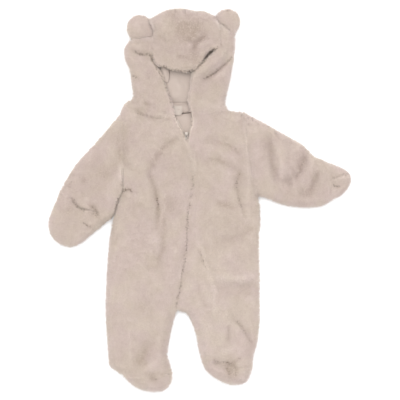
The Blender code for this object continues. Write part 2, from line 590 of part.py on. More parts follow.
def ring_rows(grid, floor_grid, inner_grid):
    """Outer and inner rings round a flattened tube, a ring for each row of its plans.

    Each ring runs over the top from the first side to the last and back along the floor.
    """
    step, width = leaning_in(inner_grid)
    side_wall = np.minimum(SIDE_WALL, NARROW_WALL_SHARE * width)
    top = cloth_height(grid)
    inner_plan = inner_grid + step * side_wall
    picks = list(range(grid.shape[1] - 1, -1, -2))
    floor_inner = inner_grid + step * (side_wall + INNER_CORNER)
    floor_step, floor_width = leaning_in(floor_grid)
    floor_outer = floor_grid + floor_step * np.minimum(FLOOR_INSET, NARROW_INSET_SHARE * floor_width)
    return (np.concatenate([raised(grid, top), raised(floor_outer[:, picks], 0.0)], axis=1),
            np.concatenate([raised(inner_plan, ceiling_under(top, inner_plan)),
                            raised(floor_inner[:, picks], BACK_WALL)], axis=1))


def make_sleeves():
    """The sleeves, flattened tubes from armhole to wrist."""
    across = closer_at_both(RING_COLUMNS)
    plans = (
        ("sleeve_left", ARMHOLE_LEFT, WRIST_LEFT, SLEEVE_LEFT_TOP, SLEEVE_LEFT_UNDER),
        ("sleeve_right", ARMHOLE_RIGHT, WRIST_RIGHT, SLEEVE_RIGHT_TOP, SLEEVE_RIGHT_UNDER),
    )
    for name, armhole, wrist, upper, under in plans:
        grid = patch(smooth(armhole), smooth(wrist), smooth(upper), smooth(under),
                     evenly(SLEEVE_ROWS), across)
        grid = drawn_in(grid, CURVED_SEAM_GAP, CURVED_SEAM_GAP)
        finish(name, tube(*ring_rows(grid, grid, grid)), FLEECE, CLOTH_ROUGHNESS)


def bag_plan(mouth, left, right, down, across):
    """Plan of a bag: chords between its two sides, that bend like its mouth near the mouth."""
    rim = spaced(mouth, across)
    bend = rim - (rim[0] + (rim[-1] - rim[0]) * across[:, None])
    lines = []
    for share in down:
        start = spaced(left, [share])[0]
        end = spaced(right, [share])[0]
        lines.append(start + (end - start) * across[:, None] + bend * (1.0 - share) ** 2)
    return np.array(lines)


def make_bag(name, mouth, one_side, other_side, row_count, mouth_gap, slot=0.0):
    """A closed bag from its mouth to the point where its two sides meet.

    A slot leaves the upper layer of the mouth open, widest at its middle.
    """
    down = 1.0 - (1.0 - evenly(row_count)[:-1]) ** TIP_CROWDING
    across = closer_at_both(RING_COLUMNS)
    left = smooth(one_side)
    right = smooth(other_side)
    rim = smooth(mouth)
    closed = drawn_in(bag_plan(rim, left, right, down, across), mouth_gap)
    opened = closed.copy()
    widest = drawn_in(closed, slot)[0] - closed[0]
    opened[0] = closed[0] + widest * (np.sin(math.pi * across) ** 2)[:, None]
    tip = left[-1]
    depth = np.linalg.norm(closed[0].mean(axis=0) - tip)
    hollow = bag_plan(rim, left, right, down * (1.0 - TIP_WALL / depth), across)
    hollow[0] = opened[0]
    outer, inner = ring_rows(opened, closed, hollow)
    outer_tip = (*tip, TIP_HEIGHT)
    inner_plan_tip = (1.0 - TIP_SHARE) * hollow[-1].mean(axis=0) + TIP_SHARE * tip
    inner_tip = (*inner_plan_tip, BACK_WALL + LEAST_HOLLOW / 2)
    finish(name, tube(outer, inner, (outer_tip, inner_tip)), FLEECE, CLOTH_ROUGHNESS)


def make_mittens_and_feet():
    """The closed ends of the sleeves and legs."""
    make_bag("mitten_left", WRIST_LEFT, MITTEN_LEFT_OUTER, MITTEN_LEFT_INNER, MITTEN_LEFT_ROWS,
             CURVED_SEAM_GAP, MITTEN_SLOT)
    make_bag("mitten_right", WRIST_RIGHT, MITTEN_RIGHT_OUTER, MITTEN_RIGHT_INNER, BAG_ROWS,
             CURVED_SEAM_GAP)
    make_bag("foot_left", FOOT_SEAM_LEFT, FOOT_LEFT_OUTER, FOOT_LEFT_INNER, BAG_ROWS, FOOT_SEAM_GAP)
    make_bag("foot_right", FOOT_SEAM_RIGHT, FOOT_RIGHT_INNER, FOOT_RIGHT_OUTER, BAG_ROWS, FOOT_SEAM_GAP)


def slid(grid, move):
    """The grid with each line's points moved along that line, by move at its start down to none."""
    out = grid.copy()
    for k, line in enumerate(grid):
        steps = np.linalg.norm(np.diff(line, axis=0), axis=1)
        along = np.concatenate([[0.0], np.cumsum(steps)])
        wanted = along + move * (1.0 - along / along[-1])
        out[k] = np.column_stack([np.interp(wanted, along, line[:, axis]) for axis in (0, 1)])
    return out


def folded_wall(front, back):
    """Outer and inner grids of a cloth that lies on the floor, turns over at the silhouette and returns.

    Both plans start at the silhouette. The wall runs from the far end of the back plan round to the
    far end of the front plan.
    """
    top = cloth_height(front)
    inner_front = slid(front, SIDE_WALL)
    inner_top = raised(inner_front, ceiling_under(top, inner_front))
    outer_floor = raised(slid(back, FLOOR_INSET), 0.0)
    inner_floor = raised(slid(back, SIDE_WALL + INNER_CORNER), BACK_WALL)
    outer = np.concatenate([outer_floor[:, ::-1], raised(front, top)], axis=1)
    inner = np.concatenate([inner_floor[:, ::-1], inner_top], axis=1)
    return outer, inner


def make_hood():
    """Centre strip and sides of the hood, each folded at the silhouette."""
    down = evenly(HOOD_ROWS)
    back_shares = evenly(HOOD_BACK_COLUMNS)
    gaps = (CURVED_SEAM_GAP, NAPE_GAP, 0.0, SEAM_GAP)
    seam_left = smooth(HOOD_BACK_SEAM_LEFT)
    seam_right = smooth(HOOD_BACK_SEAM_RIGHT)
    # each side's plans start at the silhouette and run to the opening or the back seam
    sides = (
        ("hood_side_left", smooth(EAR_SEAM_LEFT_LOW), smooth(NECK_SEAM_LEFT), smooth(NAPE_LEFT),
         smooth(HOOD_SIDE_LEFT), smooth(FLAP_EDGE_LEFT), seam_left),
        ("hood_side_right", smooth(EAR_SEAM_RIGHT)[::-1], smooth(NECK_SEAM_RIGHT)[::-1],
         smooth(NAPE_RIGHT)[::-1], smooth(HOOD_SIDE_RIGHT), smooth(FLAP_EDGE_RIGHT), seam_right),
    )
    for name, ear_seam, neck_seam, nape, outline, flap_edge, back_seam in sides:
        front = patch(ear_seam, neck_seam, outline, flap_edge, down, closer_at_start(HOOD_SIDE_COLUMNS))
        front = drawn_in(front, *gaps)
        back = drawn_in(patch(ear_seam, nape, outline, back_seam, down, back_shares), *gaps)
        back[:, 0] = front[:, 0]
        finish(name, wall(*folded_wall(front, back)), FLEECE, CLOTH_ROUGHNESS)
    # centre strip, a row for each line from the crown down
    over = evenly(HOOD_ROWS)
    gaps = (CURVED_SEAM_GAP, CURVED_SEAM_GAP, 0.0, NAPE_GAP)
    front = patch(smooth(CROWN_SEAM_LEFT), smooth(CROWN_SEAM_RIGHT), smooth(CROWN_TOP), smooth(BRIM),
                  over, closer_at_start(CROWN_COLUMNS))
    front = drawn_in(front, *gaps)
    ear_part = smooth(EAR_SEAM_LEFT)
    turn = length_of(ear_part) / (length_of(ear_part) + length_of(seam_left))
    back_shares = [share * turn for share in CROWN_TURN_SHARES] + list(CROWN_BACK_SHARES)
    back = patch(joined(ear_part, seam_left), seam_right, smooth(CROWN_TOP), smooth(NAPE_MIDDLE),
                 over, back_shares)
    back = drawn_in(back, *gaps)
    back[:, 0] = front[:, 0]
    finish("hood_crown", wall(*folded_wall(front, back)), FLEECE, CLOTH_ROUGHNESS)


def make_ear(name, circle, seam, arc_ends):
    """A two-layer ear, a flat round pad that ends at its seam with the hood."""
    x, y, radius = circle
    angles = np.radians(np.linspace(*arc_ends, EAR_STEPS + 1))
    arc = np.column_stack([x + radius * np.cos(angles), y + radius * np.sin(angles)])
    stitched = spaced(seam, evenly(EAR_STEPS))
    middle = np.vstack([arc, stitched]).mean(axis=0)
    inward = middle - stitched
    stitched = stitched + inward / np.linalg.norm(inward, axis=1, keepdims=True) * EAR_CLEARANCE
    border = np.vstack([arc, stitched])
    floor_ring = middle + (border - middle) * EAR_FLOOR_SHARE
    rings = [np.column_stack([floor_ring, np.zeros(len(border))])]
    for ring in EAR_RINGS:
        plan = middle + (border - middle) * ring.share
        rings.append(np.column_stack([plan, np.full(len(border), EAR_THICK * ring.rise)]))
    mesh_builder = bmesh.new()
    lines = add_points(mesh_builder, rings)
    skin(mesh_builder, lines, around=True)
    for line, height in ((lines[-1], EAR_THICK), (lines[0], 0.0)):
        end = mesh_builder.verts.new(Vector((*middle, height)) * MM)
        for k in range(len(line)):
            mesh_builder.faces.new((line[k], line[(k + 1) % len(line)], end))
    finish(name, mesh_builder, FLEECE, CLOTH_ROUGHNESS)


def between(top, foot, down, across):
    """Points of the sheet between a top and a foot line, with straight sides."""
    upper = smooth(top)
    lower = smooth(foot)
    left = np.array([upper[0], lower[0]])
    right = np.array([upper[-1], lower[-1]])
    return patch(upper, lower, left, right, evenly(down), evenly(across))


def make_linings():
    """Jersey that shows inside the face opening and behind the V of the zip, with the blank label."""
    low = BACK_WALL + LAYER_GAP
    lining = between(LINING_TOP, LINING_FOOT, LINING_ROWS, LINING_COLUMNS)
    finish("hood_lining", wall(raised(lining, low + JERSEY_THICK), raised(lining, low)),
           JERSEY, CLOTH_ROUGHNESS)
    facing = between(FACING_TOP, FACING_FOOT, FACING_ROWS, FACING_COLUMNS)
    finish("neck_facing", wall(raised(facing, low + JERSEY_THICK), raised(facing, low)),
           JERSEY, CLOTH_ROUGHNESS)
    band = between(BAND_TOP, BAND_FOOT, BAND_ROWS, BAND_COLUMNS)
    thick = np.array([BAND_EDGE_THICK, BAND_THICK, BAND_THICK, BAND_EDGE_THICK])[:, None]
    finish("neck_band", wall(raised(band, low + thick), raised(band, low)), JERSEY, CLOTH_ROUGHNESS)
    label = between(LABEL_TOP, LABEL_FOOT, LABEL_ROWS, LABEL_COLUMNS)
    label_low = low + BAND_THICK + LAYER_GAP
    finish("neck_label", wall(raised(label, label_low + LABEL_THICK), raised(label, label_low)),
           LABEL, LABEL_ROUGHNESS)


def stacked(cuts_x, cuts_y, cuts_z, is_filled):
    """One body of the filled cells of a grid, with faces only where a filled cell meets an empty one."""
    mesh_builder = bmesh.new()
    cuts = (cuts_x, cuts_y, cuts_z)
    counts = [len(axis_cuts) - 1 for axis_cuts in cuts]
    made = {}

    def vertex(spot):
        if spot not in made:
            place = Vector([cuts[axis][spot[axis]] for axis in range(3)])
            made[spot] = mesh_builder.verts.new(place * MM)
        return made[spot]

    def inside(cell):
        within = all(0 <= cell[axis] < counts[axis] for axis in range(3))
        return within and is_filled(*cell)

    for axis in range(3):
        side, up = (axis + 1) % 3, (axis + 2) % 3
        for cell in np.ndindex(*[counts[k] + (k == axis) for k in range(3)]):
            before = list(cell)
            before[axis] -= 1
            if inside(cell) == inside(before):
                continue
            corners = []
            for along_side, along_up in ((0, 0), (1, 0), (1, 1), (0, 1)):
                spot = list(cell)
                spot[side] += along_side
                spot[up] += along_up
                corners.append(vertex(tuple(spot)))
            mesh_builder.faces.new(corners)
    return mesh_builder


def slider_cell(i, j, k):
    """Whether a cell of the slider's grid is metal, by its place along x, y and z."""
    in_middle = i == 1
    plates = k in (0, 2)
    wedge = k == 1 and in_middle and j == 4
    strap_legs = k == 3 and in_middle and j in (1, 3)
    strap = k == 4 and in_middle and j in (1, 2, 3)
    return plates or wedge or strap_legs or strap


def make_slider():
    """Slider at the foot of the V: two plates, the wedge between them and the strap on top."""
    body = stacked([SLIDER_X + x for x in SLIDER_CUTS_X], [SLIDER_Y + y for y in SLIDER_CUTS_Y],
                   SLIDER_CUTS_Z, slider_cell)
    finish("zip_slider", body, METAL, METAL_ROUGHNESS, 1.0)


def make_pull():
    """Pull tab: a plate with an eye, whose end bar passes under the slider's strap at the pivot."""
    rim = np.array([(point.rim_x, point.rim_y) for point in PULL_OUTLINE])
    eye = np.array([(point.eye_x, point.eye_y) for point in PULL_OUTLINE])
    half = PULL_THICK / 2
    faces = [np.column_stack([outline, np.full(len(outline), height)])
             for outline in (rim, eye) for height in (half, -half)]
    piece = finish("zip_pull", tube(faces[:2], faces[2:]), METAL, METAL_ROUGHNESS, 1.0)
    piece.location = Vector(PIVOT) * MM


def main():
    """Clear the scene and build every piece."""
    for leftover in list(bpy.data.objects):
        bpy.data.objects.remove(leftover, do_unlink=True)
    make_fronts()
    make_backs()
    make_sleeves()
    make_mittens_and_feet()
    make_hood()
    left_seam = joined(smooth(EAR_SEAM_LEFT_LOW), smooth(EAR_SEAM_LEFT)[::-1])
    make_ear("ear_left", EAR_CIRCLE_LEFT, left_seam, EAR_ARC_LEFT)
    make_ear("ear_right", EAR_CIRCLE_RIGHT, smooth(EAR_SEAM_RIGHT), EAR_ARC_RIGHT)
    make_linings()
    make_slider()
    make_pull()


main()
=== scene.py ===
"""Dresses the solids of a hooded baby coverall that lies flat on its back.

The fleece panels get a finer cloth with its creases and a pile of curled tufts, the hood and
neck get their jersey, and the zip gets its woven tape, teeth, slider and pull tab.
"""

import json
import logging
import math
from collections.abc import Callable
from dataclasses import dataclass, field
from enum import Enum

import bmesh
import bpy
import numpy as np
from bmesh.types import BMesh, BMVert
from bpy.types import Collection, Material, Mesh, Node, NodeSocket, NodeTree, Object
from mathutils import Matrix, Vector, noise
from mathutils.bvhtree import BVHTree

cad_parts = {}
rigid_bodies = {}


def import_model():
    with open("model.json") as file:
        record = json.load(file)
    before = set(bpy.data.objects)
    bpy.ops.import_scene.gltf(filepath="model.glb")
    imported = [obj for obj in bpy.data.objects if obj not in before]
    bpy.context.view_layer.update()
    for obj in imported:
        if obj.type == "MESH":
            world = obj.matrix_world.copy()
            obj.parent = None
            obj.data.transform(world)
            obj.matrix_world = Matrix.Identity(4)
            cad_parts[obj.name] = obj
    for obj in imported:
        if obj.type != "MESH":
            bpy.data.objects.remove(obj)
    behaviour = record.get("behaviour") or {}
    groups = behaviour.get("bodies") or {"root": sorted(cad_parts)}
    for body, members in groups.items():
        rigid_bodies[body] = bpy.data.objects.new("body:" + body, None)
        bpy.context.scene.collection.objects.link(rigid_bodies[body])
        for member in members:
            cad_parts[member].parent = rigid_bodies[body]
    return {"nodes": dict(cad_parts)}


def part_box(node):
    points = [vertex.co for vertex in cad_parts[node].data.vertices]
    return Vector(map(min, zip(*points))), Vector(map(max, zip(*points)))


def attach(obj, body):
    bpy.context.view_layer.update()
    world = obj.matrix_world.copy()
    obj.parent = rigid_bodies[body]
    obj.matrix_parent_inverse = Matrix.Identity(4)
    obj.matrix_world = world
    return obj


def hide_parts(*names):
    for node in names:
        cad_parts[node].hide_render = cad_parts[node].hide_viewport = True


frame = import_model()
LOG = logging.getLogger("coverall")

MM = 0.001
UP = Vector((0.0, 0.0, 1.0))
MM_PER_PIXEL = 1.958  # the photograph's scale on the cloth
IMAGE_PIXELS = 400
WELD = 1e-5  # m, vertices closer than this are one
MOST_SPLITS = 6  # rounds in which the edges of a mesh are halved
BANDS = 2 * math.pi / 20  # m between the bands of a wave texture whose Scale is 1
GARMENT = "garment"
PULL = "pull_tab"

# the kinds of node that are used most
NOISE = "ShaderNodeTexNoise"
MIX = "ShaderNodeMix"
BUMP = "ShaderNodeBump"
REMAP = "ShaderNodeMapRange"
MATH = "ShaderNodeMath"
VECTORS = "ShaderNodeVectorMath"
NAMED = "GeometryNodeInputNamedAttribute"
STORE = "GeometryNodeStoreNamedAttribute"
RANDOM = "FunctionNodeRandomValue"

Points = tuple[tuple[float, float], ...]  # a line or corners: x and y in mm


# ------------------------------------------------------------------ small helpers
def colour(code: str) -> tuple[float, float, float, float]:
    """Turn an sRGB hex colour into linear RGBA.

    Args:
        code: six hex digits, such as "c8b8ac".

    Returns:
        Red, green, blue and alpha as a shader takes them.
    """
    parts = [int(code[k:k + 2], 16) / 255 for k in (0, 2, 4)]
    red, green, blue = (c / 12.92 if c <= 0.04045 else ((c + 0.055) / 1.055) ** 2.4 for c in parts)
    return red, green, blue, 1.0


def result(node: Node) -> NodeSocket:
    """The first output of a node that is in use."""
    return next(one for one in node.outputs if one.enabled)


def add(tree: NodeTree, kind: str, feeds: dict | None = None, to: NodeSocket | None = None,
        **settings) -> Node:
    """Add a node with its settings and links.

    Args:
        tree: the node tree that it joins.
        kind: the node's type.
        feeds: for each input, by name or number, the node, socket or value that it gets.
        to: an input that takes the node's result.
        **settings: the node's own properties.

    Returns:
        The new node.
    """
    node = tree.nodes.new(kind)
    for name, value in settings.items():
        setattr(node, name, value)
    for name, value in (feeds or {}).items():
        socket = node.inputs[name]
        if isinstance(name, str):
            socket = next(one for one in node.inputs if one.name == name and one.enabled)
        if isinstance(value, Node):
            value = result(value)
        if isinstance(value, NodeSocket):
            tree.links.new(value, socket)
        else:
            socket.default_value = value
    if to is not None:
        tree.links.new(result(node), to)
    return node


def from_builder(name: str, builder: BMesh, material: Material) -> Object:
    """Turn a bmesh into a smooth-shaded piece.

    Args:
        name: the piece's name.
        builder: the bmesh, which is freed.
        material: the piece's finish.

    Returns:
        The object.
    """
    mesh = bpy.data.meshes.new(name)
    builder.to_mesh(mesh)
    builder.free()
    mesh.shade_smooth()
    mesh.materials.append(material)
    piece = bpy.data.objects.new(name, mesh)
    bpy.context.scene.collection.objects.link(piece)
    return piece


def settle(piece: Object, node: str = "", body: str = GARMENT) -> None:
    """Say what a piece rides on and which solid it stands for.

    Args:
        piece: the piece.
        node: the solid that it replaces, if any.
        body: the body that carries it.
    """
    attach(piece, body)
    if node:
        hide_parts(node)
    LOG.info("%s: %d faces, on %s", piece.name, len(piece.data.polygons), body)


def solid_copy(node: str) -> BMesh:
    """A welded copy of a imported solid.

    Args:
        node: the solid's name.

    Returns:
        A bmesh of one closed body.
    """
    builder = bmesh.new()
    builder.from_mesh(frame["nodes"][node].data)
    bmesh.ops.remove_doubles(builder, verts=builder.verts, dist=WELD)
    return builder


def refine(builder: BMesh, longest: float, near: set[BMVert] | None = None) -> None:
    """Split long edges until none is longer than wanted.

    Args:
        builder: the mesh.
        longest: the longest edge that may stay, in metres.
        near: the vertices whose edges are split, or None for all.
    """
    for _ in range(MOST_SPLITS):
        edges = [edge for edge in builder.edges if edge.calc_length() > longest
                 and (near is None or near.issuperset(edge.verts))]
        if not edges:
            return
        made = bmesh.ops.subdivide_edges(builder, edges=edges, cuts=1)
        bmesh.ops.triangulate(builder, faces=[f for f in builder.faces if len(f.verts) > 3])
        if near is not None:
            near.update(v for v in made["geom_inner"] if isinstance(v, BMVert))


def solid_tree(*nodes: str) -> BVHTree:
    """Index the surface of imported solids.

    Args:
        *nodes: their names.

    Returns:
        A tree that rays are cast at.
    """
    points, faces = [], []
    for mesh in (frame["nodes"][node].data for node in nodes):
        offset = len(points)
        points += [vertex.co.copy() for vertex in mesh.vertices]
        faces += [[k + offset for k in polygon.vertices] for polygon in mesh.polygons]
    return BVHTree.FromPolygons(points, faces)


def curved_sheet(across: int, along: int, shape: Callable[[float, float], Vector],
                 thick: float) -> BMesh:
    """Bend a grid into place and give it its thickness.

    Args:
        across: faces across it.
        along: faces along it.
        shape: gives a place in mm for two shares from 0 to 1, across and along.
        thick: in mm.

    Returns:
        The sheet, as one closed wall.
    """
    builder = bmesh.new()
    bmesh.ops.create_grid(builder, x_segments=across, y_segments=along, size=0.5)
    for vertex in builder.verts:
        vertex.co = shape(vertex.co.x + 0.5, vertex.co.y + 0.5) * MM
    bmesh.ops.recalc_face_normals(builder, faces=builder.faces)
    bmesh.ops.solidify(builder, geom=builder.faces[:], thickness=thick * MM)
    bmesh.ops.recalc_face_normals(builder, faces=builder.faces)
    return builder


# ------------------------------------------------------------------ lines on the cloth, in mm
def flat(vertices: list[BMVert]) -> np.ndarray:
    """The x and y of vertices, one a row, in mm."""
    return np.array([(v.co.x, v.co.y) for v in vertices]) / MM


def lengths(points: Points) -> np.ndarray:
    """Length of a line from its start to each of its points."""
    return np.concatenate([[0.0], np.cumsum(np.linalg.norm(np.diff(points, axis=0), axis=1))])


def follow(points: Points, runs: np.ndarray) -> np.ndarray:
    """The spots that lie at given lengths along a line, one x and y a row."""
    return np.column_stack([np.interp(runs, lengths(points), axis) for axis in zip(*points)])


def to_stretch(spots: np.ndarray, start: np.ndarray,
               end: np.ndarray) -> tuple[np.ndarray, np.ndarray]:
    """Where spots lie along and away from a straight stretch.

    Args:
        spots: one x and y a row.
        start: one end of the stretch.
        end: its other end.

    Returns:
        Each spot's share of the stretch, from 0 to 1, and its distance.
    """
    run = end - start
    share = np.clip((spots - start) @ run / max(float(run @ run), 1e-9), 0.0, 1.0)
    return share, np.linalg.norm(spots - (start + share[:, None] * run), axis=1)


def distances(spots: np.ndarray, points: Points) -> np.ndarray:
    """Distance of each spot, one x and y a row, to a line."""
    line = np.array(points, float)
    return np.min([to_stretch(spots, a, b)[1] for a, b in zip(line[:-1], line[1:])], axis=0)


# ------------------------------------------------------------------ finishes
@dataclass(frozen=True)
class Finish:
    """What every finish has: a name, its main colour and its roughness."""

    name: str
    base: str
    roughness: float

    def start(self, **more: float) -> tuple[Material, NodeTree, Node, NodeSocket]:
        """Make a material with its shader and no pattern yet.

        Args:
            **more: the shader's other values, with _ for a space.

        Returns:
            The material, its node tree, its Principled shader and the Object coordinates.
        """
        material = bpy.data.materials.new(self.name)
        material.use_nodes = True
        tree = material.node_tree
        tree.nodes.clear()
        values = {name.replace("_", " "): value for name, value in more.items()}
        shader = add(tree, "ShaderNodeBsdfPrincipled",
                     {"Base Color": colour(self.base), "Roughness": self.roughness, **values})
        add(tree, "ShaderNodeOutputMaterial", {"Surface": shader})
        return material, tree, shader, add(tree, "ShaderNodeTexCoord").outputs["Object"]


@dataclass(frozen=True)
class FleeceGround(Finish):
    """Knitted polyester ground of the teddy fleece, seen only between the roots of the pile.

    It is a matt tricot of the pile's own colour, with painted shade that darkens it where it faces
    into a hollow that is closed above.
    """

    dark: str = "c9b8ad"
    # painted shade: the ground's colour where it faces into a hollow that is closed above
    deep: str = "42362f"
    mottle_mm: float = 9.0
    knit_mm: float = 1.6  # two real courses, as fine as the render can show

    def make(self) -> Material:
        """Build the material.

        Returns:
            The finished material.
        """
        material, tree, shader, place = self.start()
        mottle = add(tree, NOISE, {"Vector": place, "Scale": 1 / (self.mottle_mm * MM),
                                   "Detail": 3.0})
        tone = add(tree, MIX, {"Factor": mottle, 6: colour(self.dark), 7: colour(self.base)},
                   data_type="RGBA")
        # painted shade: the ground turns deep inside hollows that are closed above
        hollow_shade_mask = add(tree, "ShaderNodeAttribute", attribute_name=Pile.HOLLOW_SHADE)
        add(tree, MIX, {"Factor": hollow_shade_mask.outputs["Fac"], 6: tone, 7: colour(self.deep)},
            shader.inputs["Base Color"], data_type="RGBA")
        knit = add(tree, NOISE, {"Vector": place, "Scale": 1 / (self.knit_mm * MM), "Detail": 1.0})
        add(tree, BUMP, {"Height": knit, "Strength": 0.6, "Distance": 0.5 * MM},
            shader.inputs["Normal"])
        return material


@dataclass(frozen=True)
class TeddyPile(Finish):
    """Crimped polyester pile: matt and soft at the tips, with painted shade that darkens it a
    little towards the roots.

    Each tuft's own map gives the colour: across it runs the tint of the tuft, which also carries
    painted shade and painted light, up it the height.
    """

    speck_shade_colour: str = "75655b"  # painted shade: the colour of a tuft painted dark as a speck in a crease
    # the darkest tint of the mottle, and the colour towards which painted shade in creases and
    # blotches darkens the pile
    deep: str = "b9a89c"
    tip: str = "dfd2ca"
    painted_root_shade: float = 0.92  # brightness left at the root by the painted shade
    pinker: str = "fffbfd"  # the two casts that the dyed pile drifts between
    yellower: str = "fffef9"
    hue_mm: float = 40.0

    def make(self) -> Material:
        """Build the material.

        Returns:
            The finished material.
        """
        material, tree, shader, place = self.start(Sheen_Weight=0.6, Sheen_Roughness=0.6,
                                                   Specular_IOR_Level=0.2)
        spot = add(tree, "ShaderNodeUVMap", uv_map=Pile.MAP)
        parts = add(tree, "ShaderNodeSeparateXYZ", {"Vector": spot}).outputs
        tint = add(tree, "ShaderNodeValToRGB", {"Fac": parts["X"]})
        stops = tint.color_ramp.elements
        stops[0].color, stops[1].color = colour(self.speck_shade_colour), colour(self.tip)
        stops.new(Pile.palest_dark).color = colour(self.deep)
        # painted shade: each tuft darkens a little towards its root
        up = add(tree, REMAP, {"Value": parts["Y"], "From Min": 0.0, "From Max": 0.6,
                               "To Min": self.painted_root_shade, "To Max": 1.0})
        tone = add(tree, VECTORS, {0: tint, "Scale": up}, operation="SCALE")
        hue = add(tree, NOISE, {"Vector": place, "Scale": 1 / (self.hue_mm * MM), "Detail": 2.0})
        side = add(tree, REMAP, {"Value": hue, "From Min": 0.38, "From Max": 0.62})
        cast = add(tree, MIX, {"Factor": side, 6: colour(self.pinker), 7: colour(self.yellower)},
                   data_type="RGBA")
        add(tree, VECTORS, {0: tone, 1: cast}, shader.inputs["Base Color"], operation="MULTIPLY")
        return material


@dataclass(frozen=True)
class CottonJersey(Finish):
    """Fine single jersey: smooth, matt, with faint wales that run down the garment."""

    shade: str = "b1a298"
    cloud_mm: float = 100 / 9  # size of the soft clouds in its colour
    wale_mm: float = 2.6  # a real wale is 0.7 mm, drawn as coarse as the render shows

    def make(self) -> Material:
        """Build the material.

        Returns:
            The finished material.
        """
        material, tree, shader, place = self.start(Sheen_Weight=0.15)
        soft = add(tree, NOISE, {"Vector": place, "Scale": 1 / (self.cloud_mm * MM), "Detail": 2.0})
        add(tree, MIX, {"Factor": soft, 6: colour(self.shade), 7: colour(self.base)},
            shader.inputs["Base Color"], data_type="RGBA")
        wales = add(tree, "ShaderNodeTexWave",
                    {"Vector": place, "Scale": BANDS / (self.wale_mm * MM), "Distortion": 0.6,
                     "Detail": 1.0, "Detail Scale": 3.0}, bands_direction="X")
        add(tree, BUMP, {"Height": wales.outputs["Fac"], "Strength": 0.35, "Distance": 0.3 * MM},
            shader.inputs["Normal"])
        return material


@dataclass(frozen=True)
class WovenTape(Finish):
    """Woven polyester tape or label: a tight herringbone with a slight satin gloss."""

    rib_mm: float = 1.8  # ribs of the weave, drawn four times as coarse as real
    slant: float = 38.0  # degrees
    satin: float = 0.25

    def make(self) -> Material:
        """Build the material.

        Returns:
            The finished material.
        """
        material, tree, shader, place = self.start(Sheen_Weight=self.satin)
        turned = add(tree, "ShaderNodeMapping",
                     {"Vector": place, "Rotation": (0.0, 0.0, math.radians(self.slant))})
        ribs = add(tree, "ShaderNodeTexWave",
                   {"Vector": turned, "Scale": BANDS / (self.rib_mm * MM), "Distortion": 0.3},
                   bands_direction="Y")
        add(tree, BUMP, {"Height": ribs.outputs["Fac"], "Strength": 0.5, "Distance": 0.2 * MM},
            shader.inputs["Normal"])
        return material


@dataclass(frozen=True)
class MouldedNylon(Finish):
    """Nylon monofilament of the coil teeth and the sewing thread, with a soft, uneven gloss."""

    wear_mm: float = 10 / 7

    def make(self) -> Material:
        """Build the material.

        Returns:
            The finished material.
        """
        material, tree, shader, place = self.start()
        wear = add(tree, NOISE, {"Vector": place, "Scale": 1 / (self.wear_mm * MM)})
        add(tree, REMAP, {"Value": wear, "To Min": self.roughness - 0.1,
                          "To Max": self.roughness + 0.15}, shader.inputs["Roughness"])
        return material


@dataclass(frozen=True)
class PlatedZinc(Finish):
    """Die-cast zinc with a pale satin plating, worn a little brighter in places."""

    bright: str = "b8b0a8"
    haze_mm: float = 10 / 9

    def make(self) -> Material:
        """Build the material.

        Returns:
            The finished material.
        """
        material, tree, shader, place = self.start(Metallic=0.6)
        haze = add(tree, NOISE, {"Vector": place, "Scale": 1 / (self.haze_mm * MM), "Detail": 3.0})
        add(tree, MIX, {"Factor": haze, 6: colour(self.base), 7: colour(self.bright)},
            shader.inputs["Base Color"], data_type="RGBA")
        add(tree, BUMP, {"Height": haze, "Strength": 0.15, "Distance": 0.05 * MM},
            shader.inputs["Normal"])
        return material


# ------------------------------------------------------------------ the cloth's surroundings
class Side(Enum):
    """Which way a stretch of cloth looks. The value is the share of the full pile that it gets."""

    UPPER = 1.0
    UNDER = 0.12
    HIDDEN = 0.0


class Surroundings:
    """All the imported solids, to tell what shows and what meets at a seam."""

    REACH = 40 * MM  # a hollow is never deeper than this
    STAND_OFF = 0.15 * MM
    SEAM = 2.2 * MM  # cloth nearer than this to another piece is at a seam
    FLOORWARD = -0.35  # a surface that looks further down than this is the underside

    def __init__(self) -> None:
        """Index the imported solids."""
        self.trees = {name: solid_tree(name) for name in frame["nodes"]}
        self.boxes = {name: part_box(name) for name in frame["nodes"]}
        self.everything = solid_tree(*frame["nodes"])

    def covered(self, vertex: BMVert, way: Vector) -> bool:
        """Tell whether the view from a point of a surface is blocked in one direction."""
        start = vertex.co + vertex.normal * self.STAND_OFF
        return self.everything.ray_cast(start, way, self.REACH)[0] is not None

    def sides(self, builder: BMesh) -> dict[BMVert, Side]:
        """Which way each vertex looks.

        Args:
            builder: a mesh that is still on its solid's surface.

        Returns:
            Up or outwards, down to the floor, or into a hollow or seam, for each vertex.
        """
        builder.normal_update()
        return {v: Side.HIDDEN if self.covered(v, v.normal)
                else Side.UNDER if v.normal.z < self.FLOORWARD
                else Side.UPPER for v in builder.verts}

    def at_seam(self, node: str, place: Vector) -> bool:
        """Tell whether a point lies next to another piece.

        Args:
            node: the point's own piece.
            place: the point.

        Returns:
            True within a seam's width of another solid.
        """
        close = [name for name, (low, high) in self.boxes.items() if name != node
                 and all(low[k] - self.SEAM <= place[k] <= high[k] + self.SEAM for k in range(3))]
        return any(self.trees[name].find_nearest(place, self.SEAM)[0] is not None for name in close)


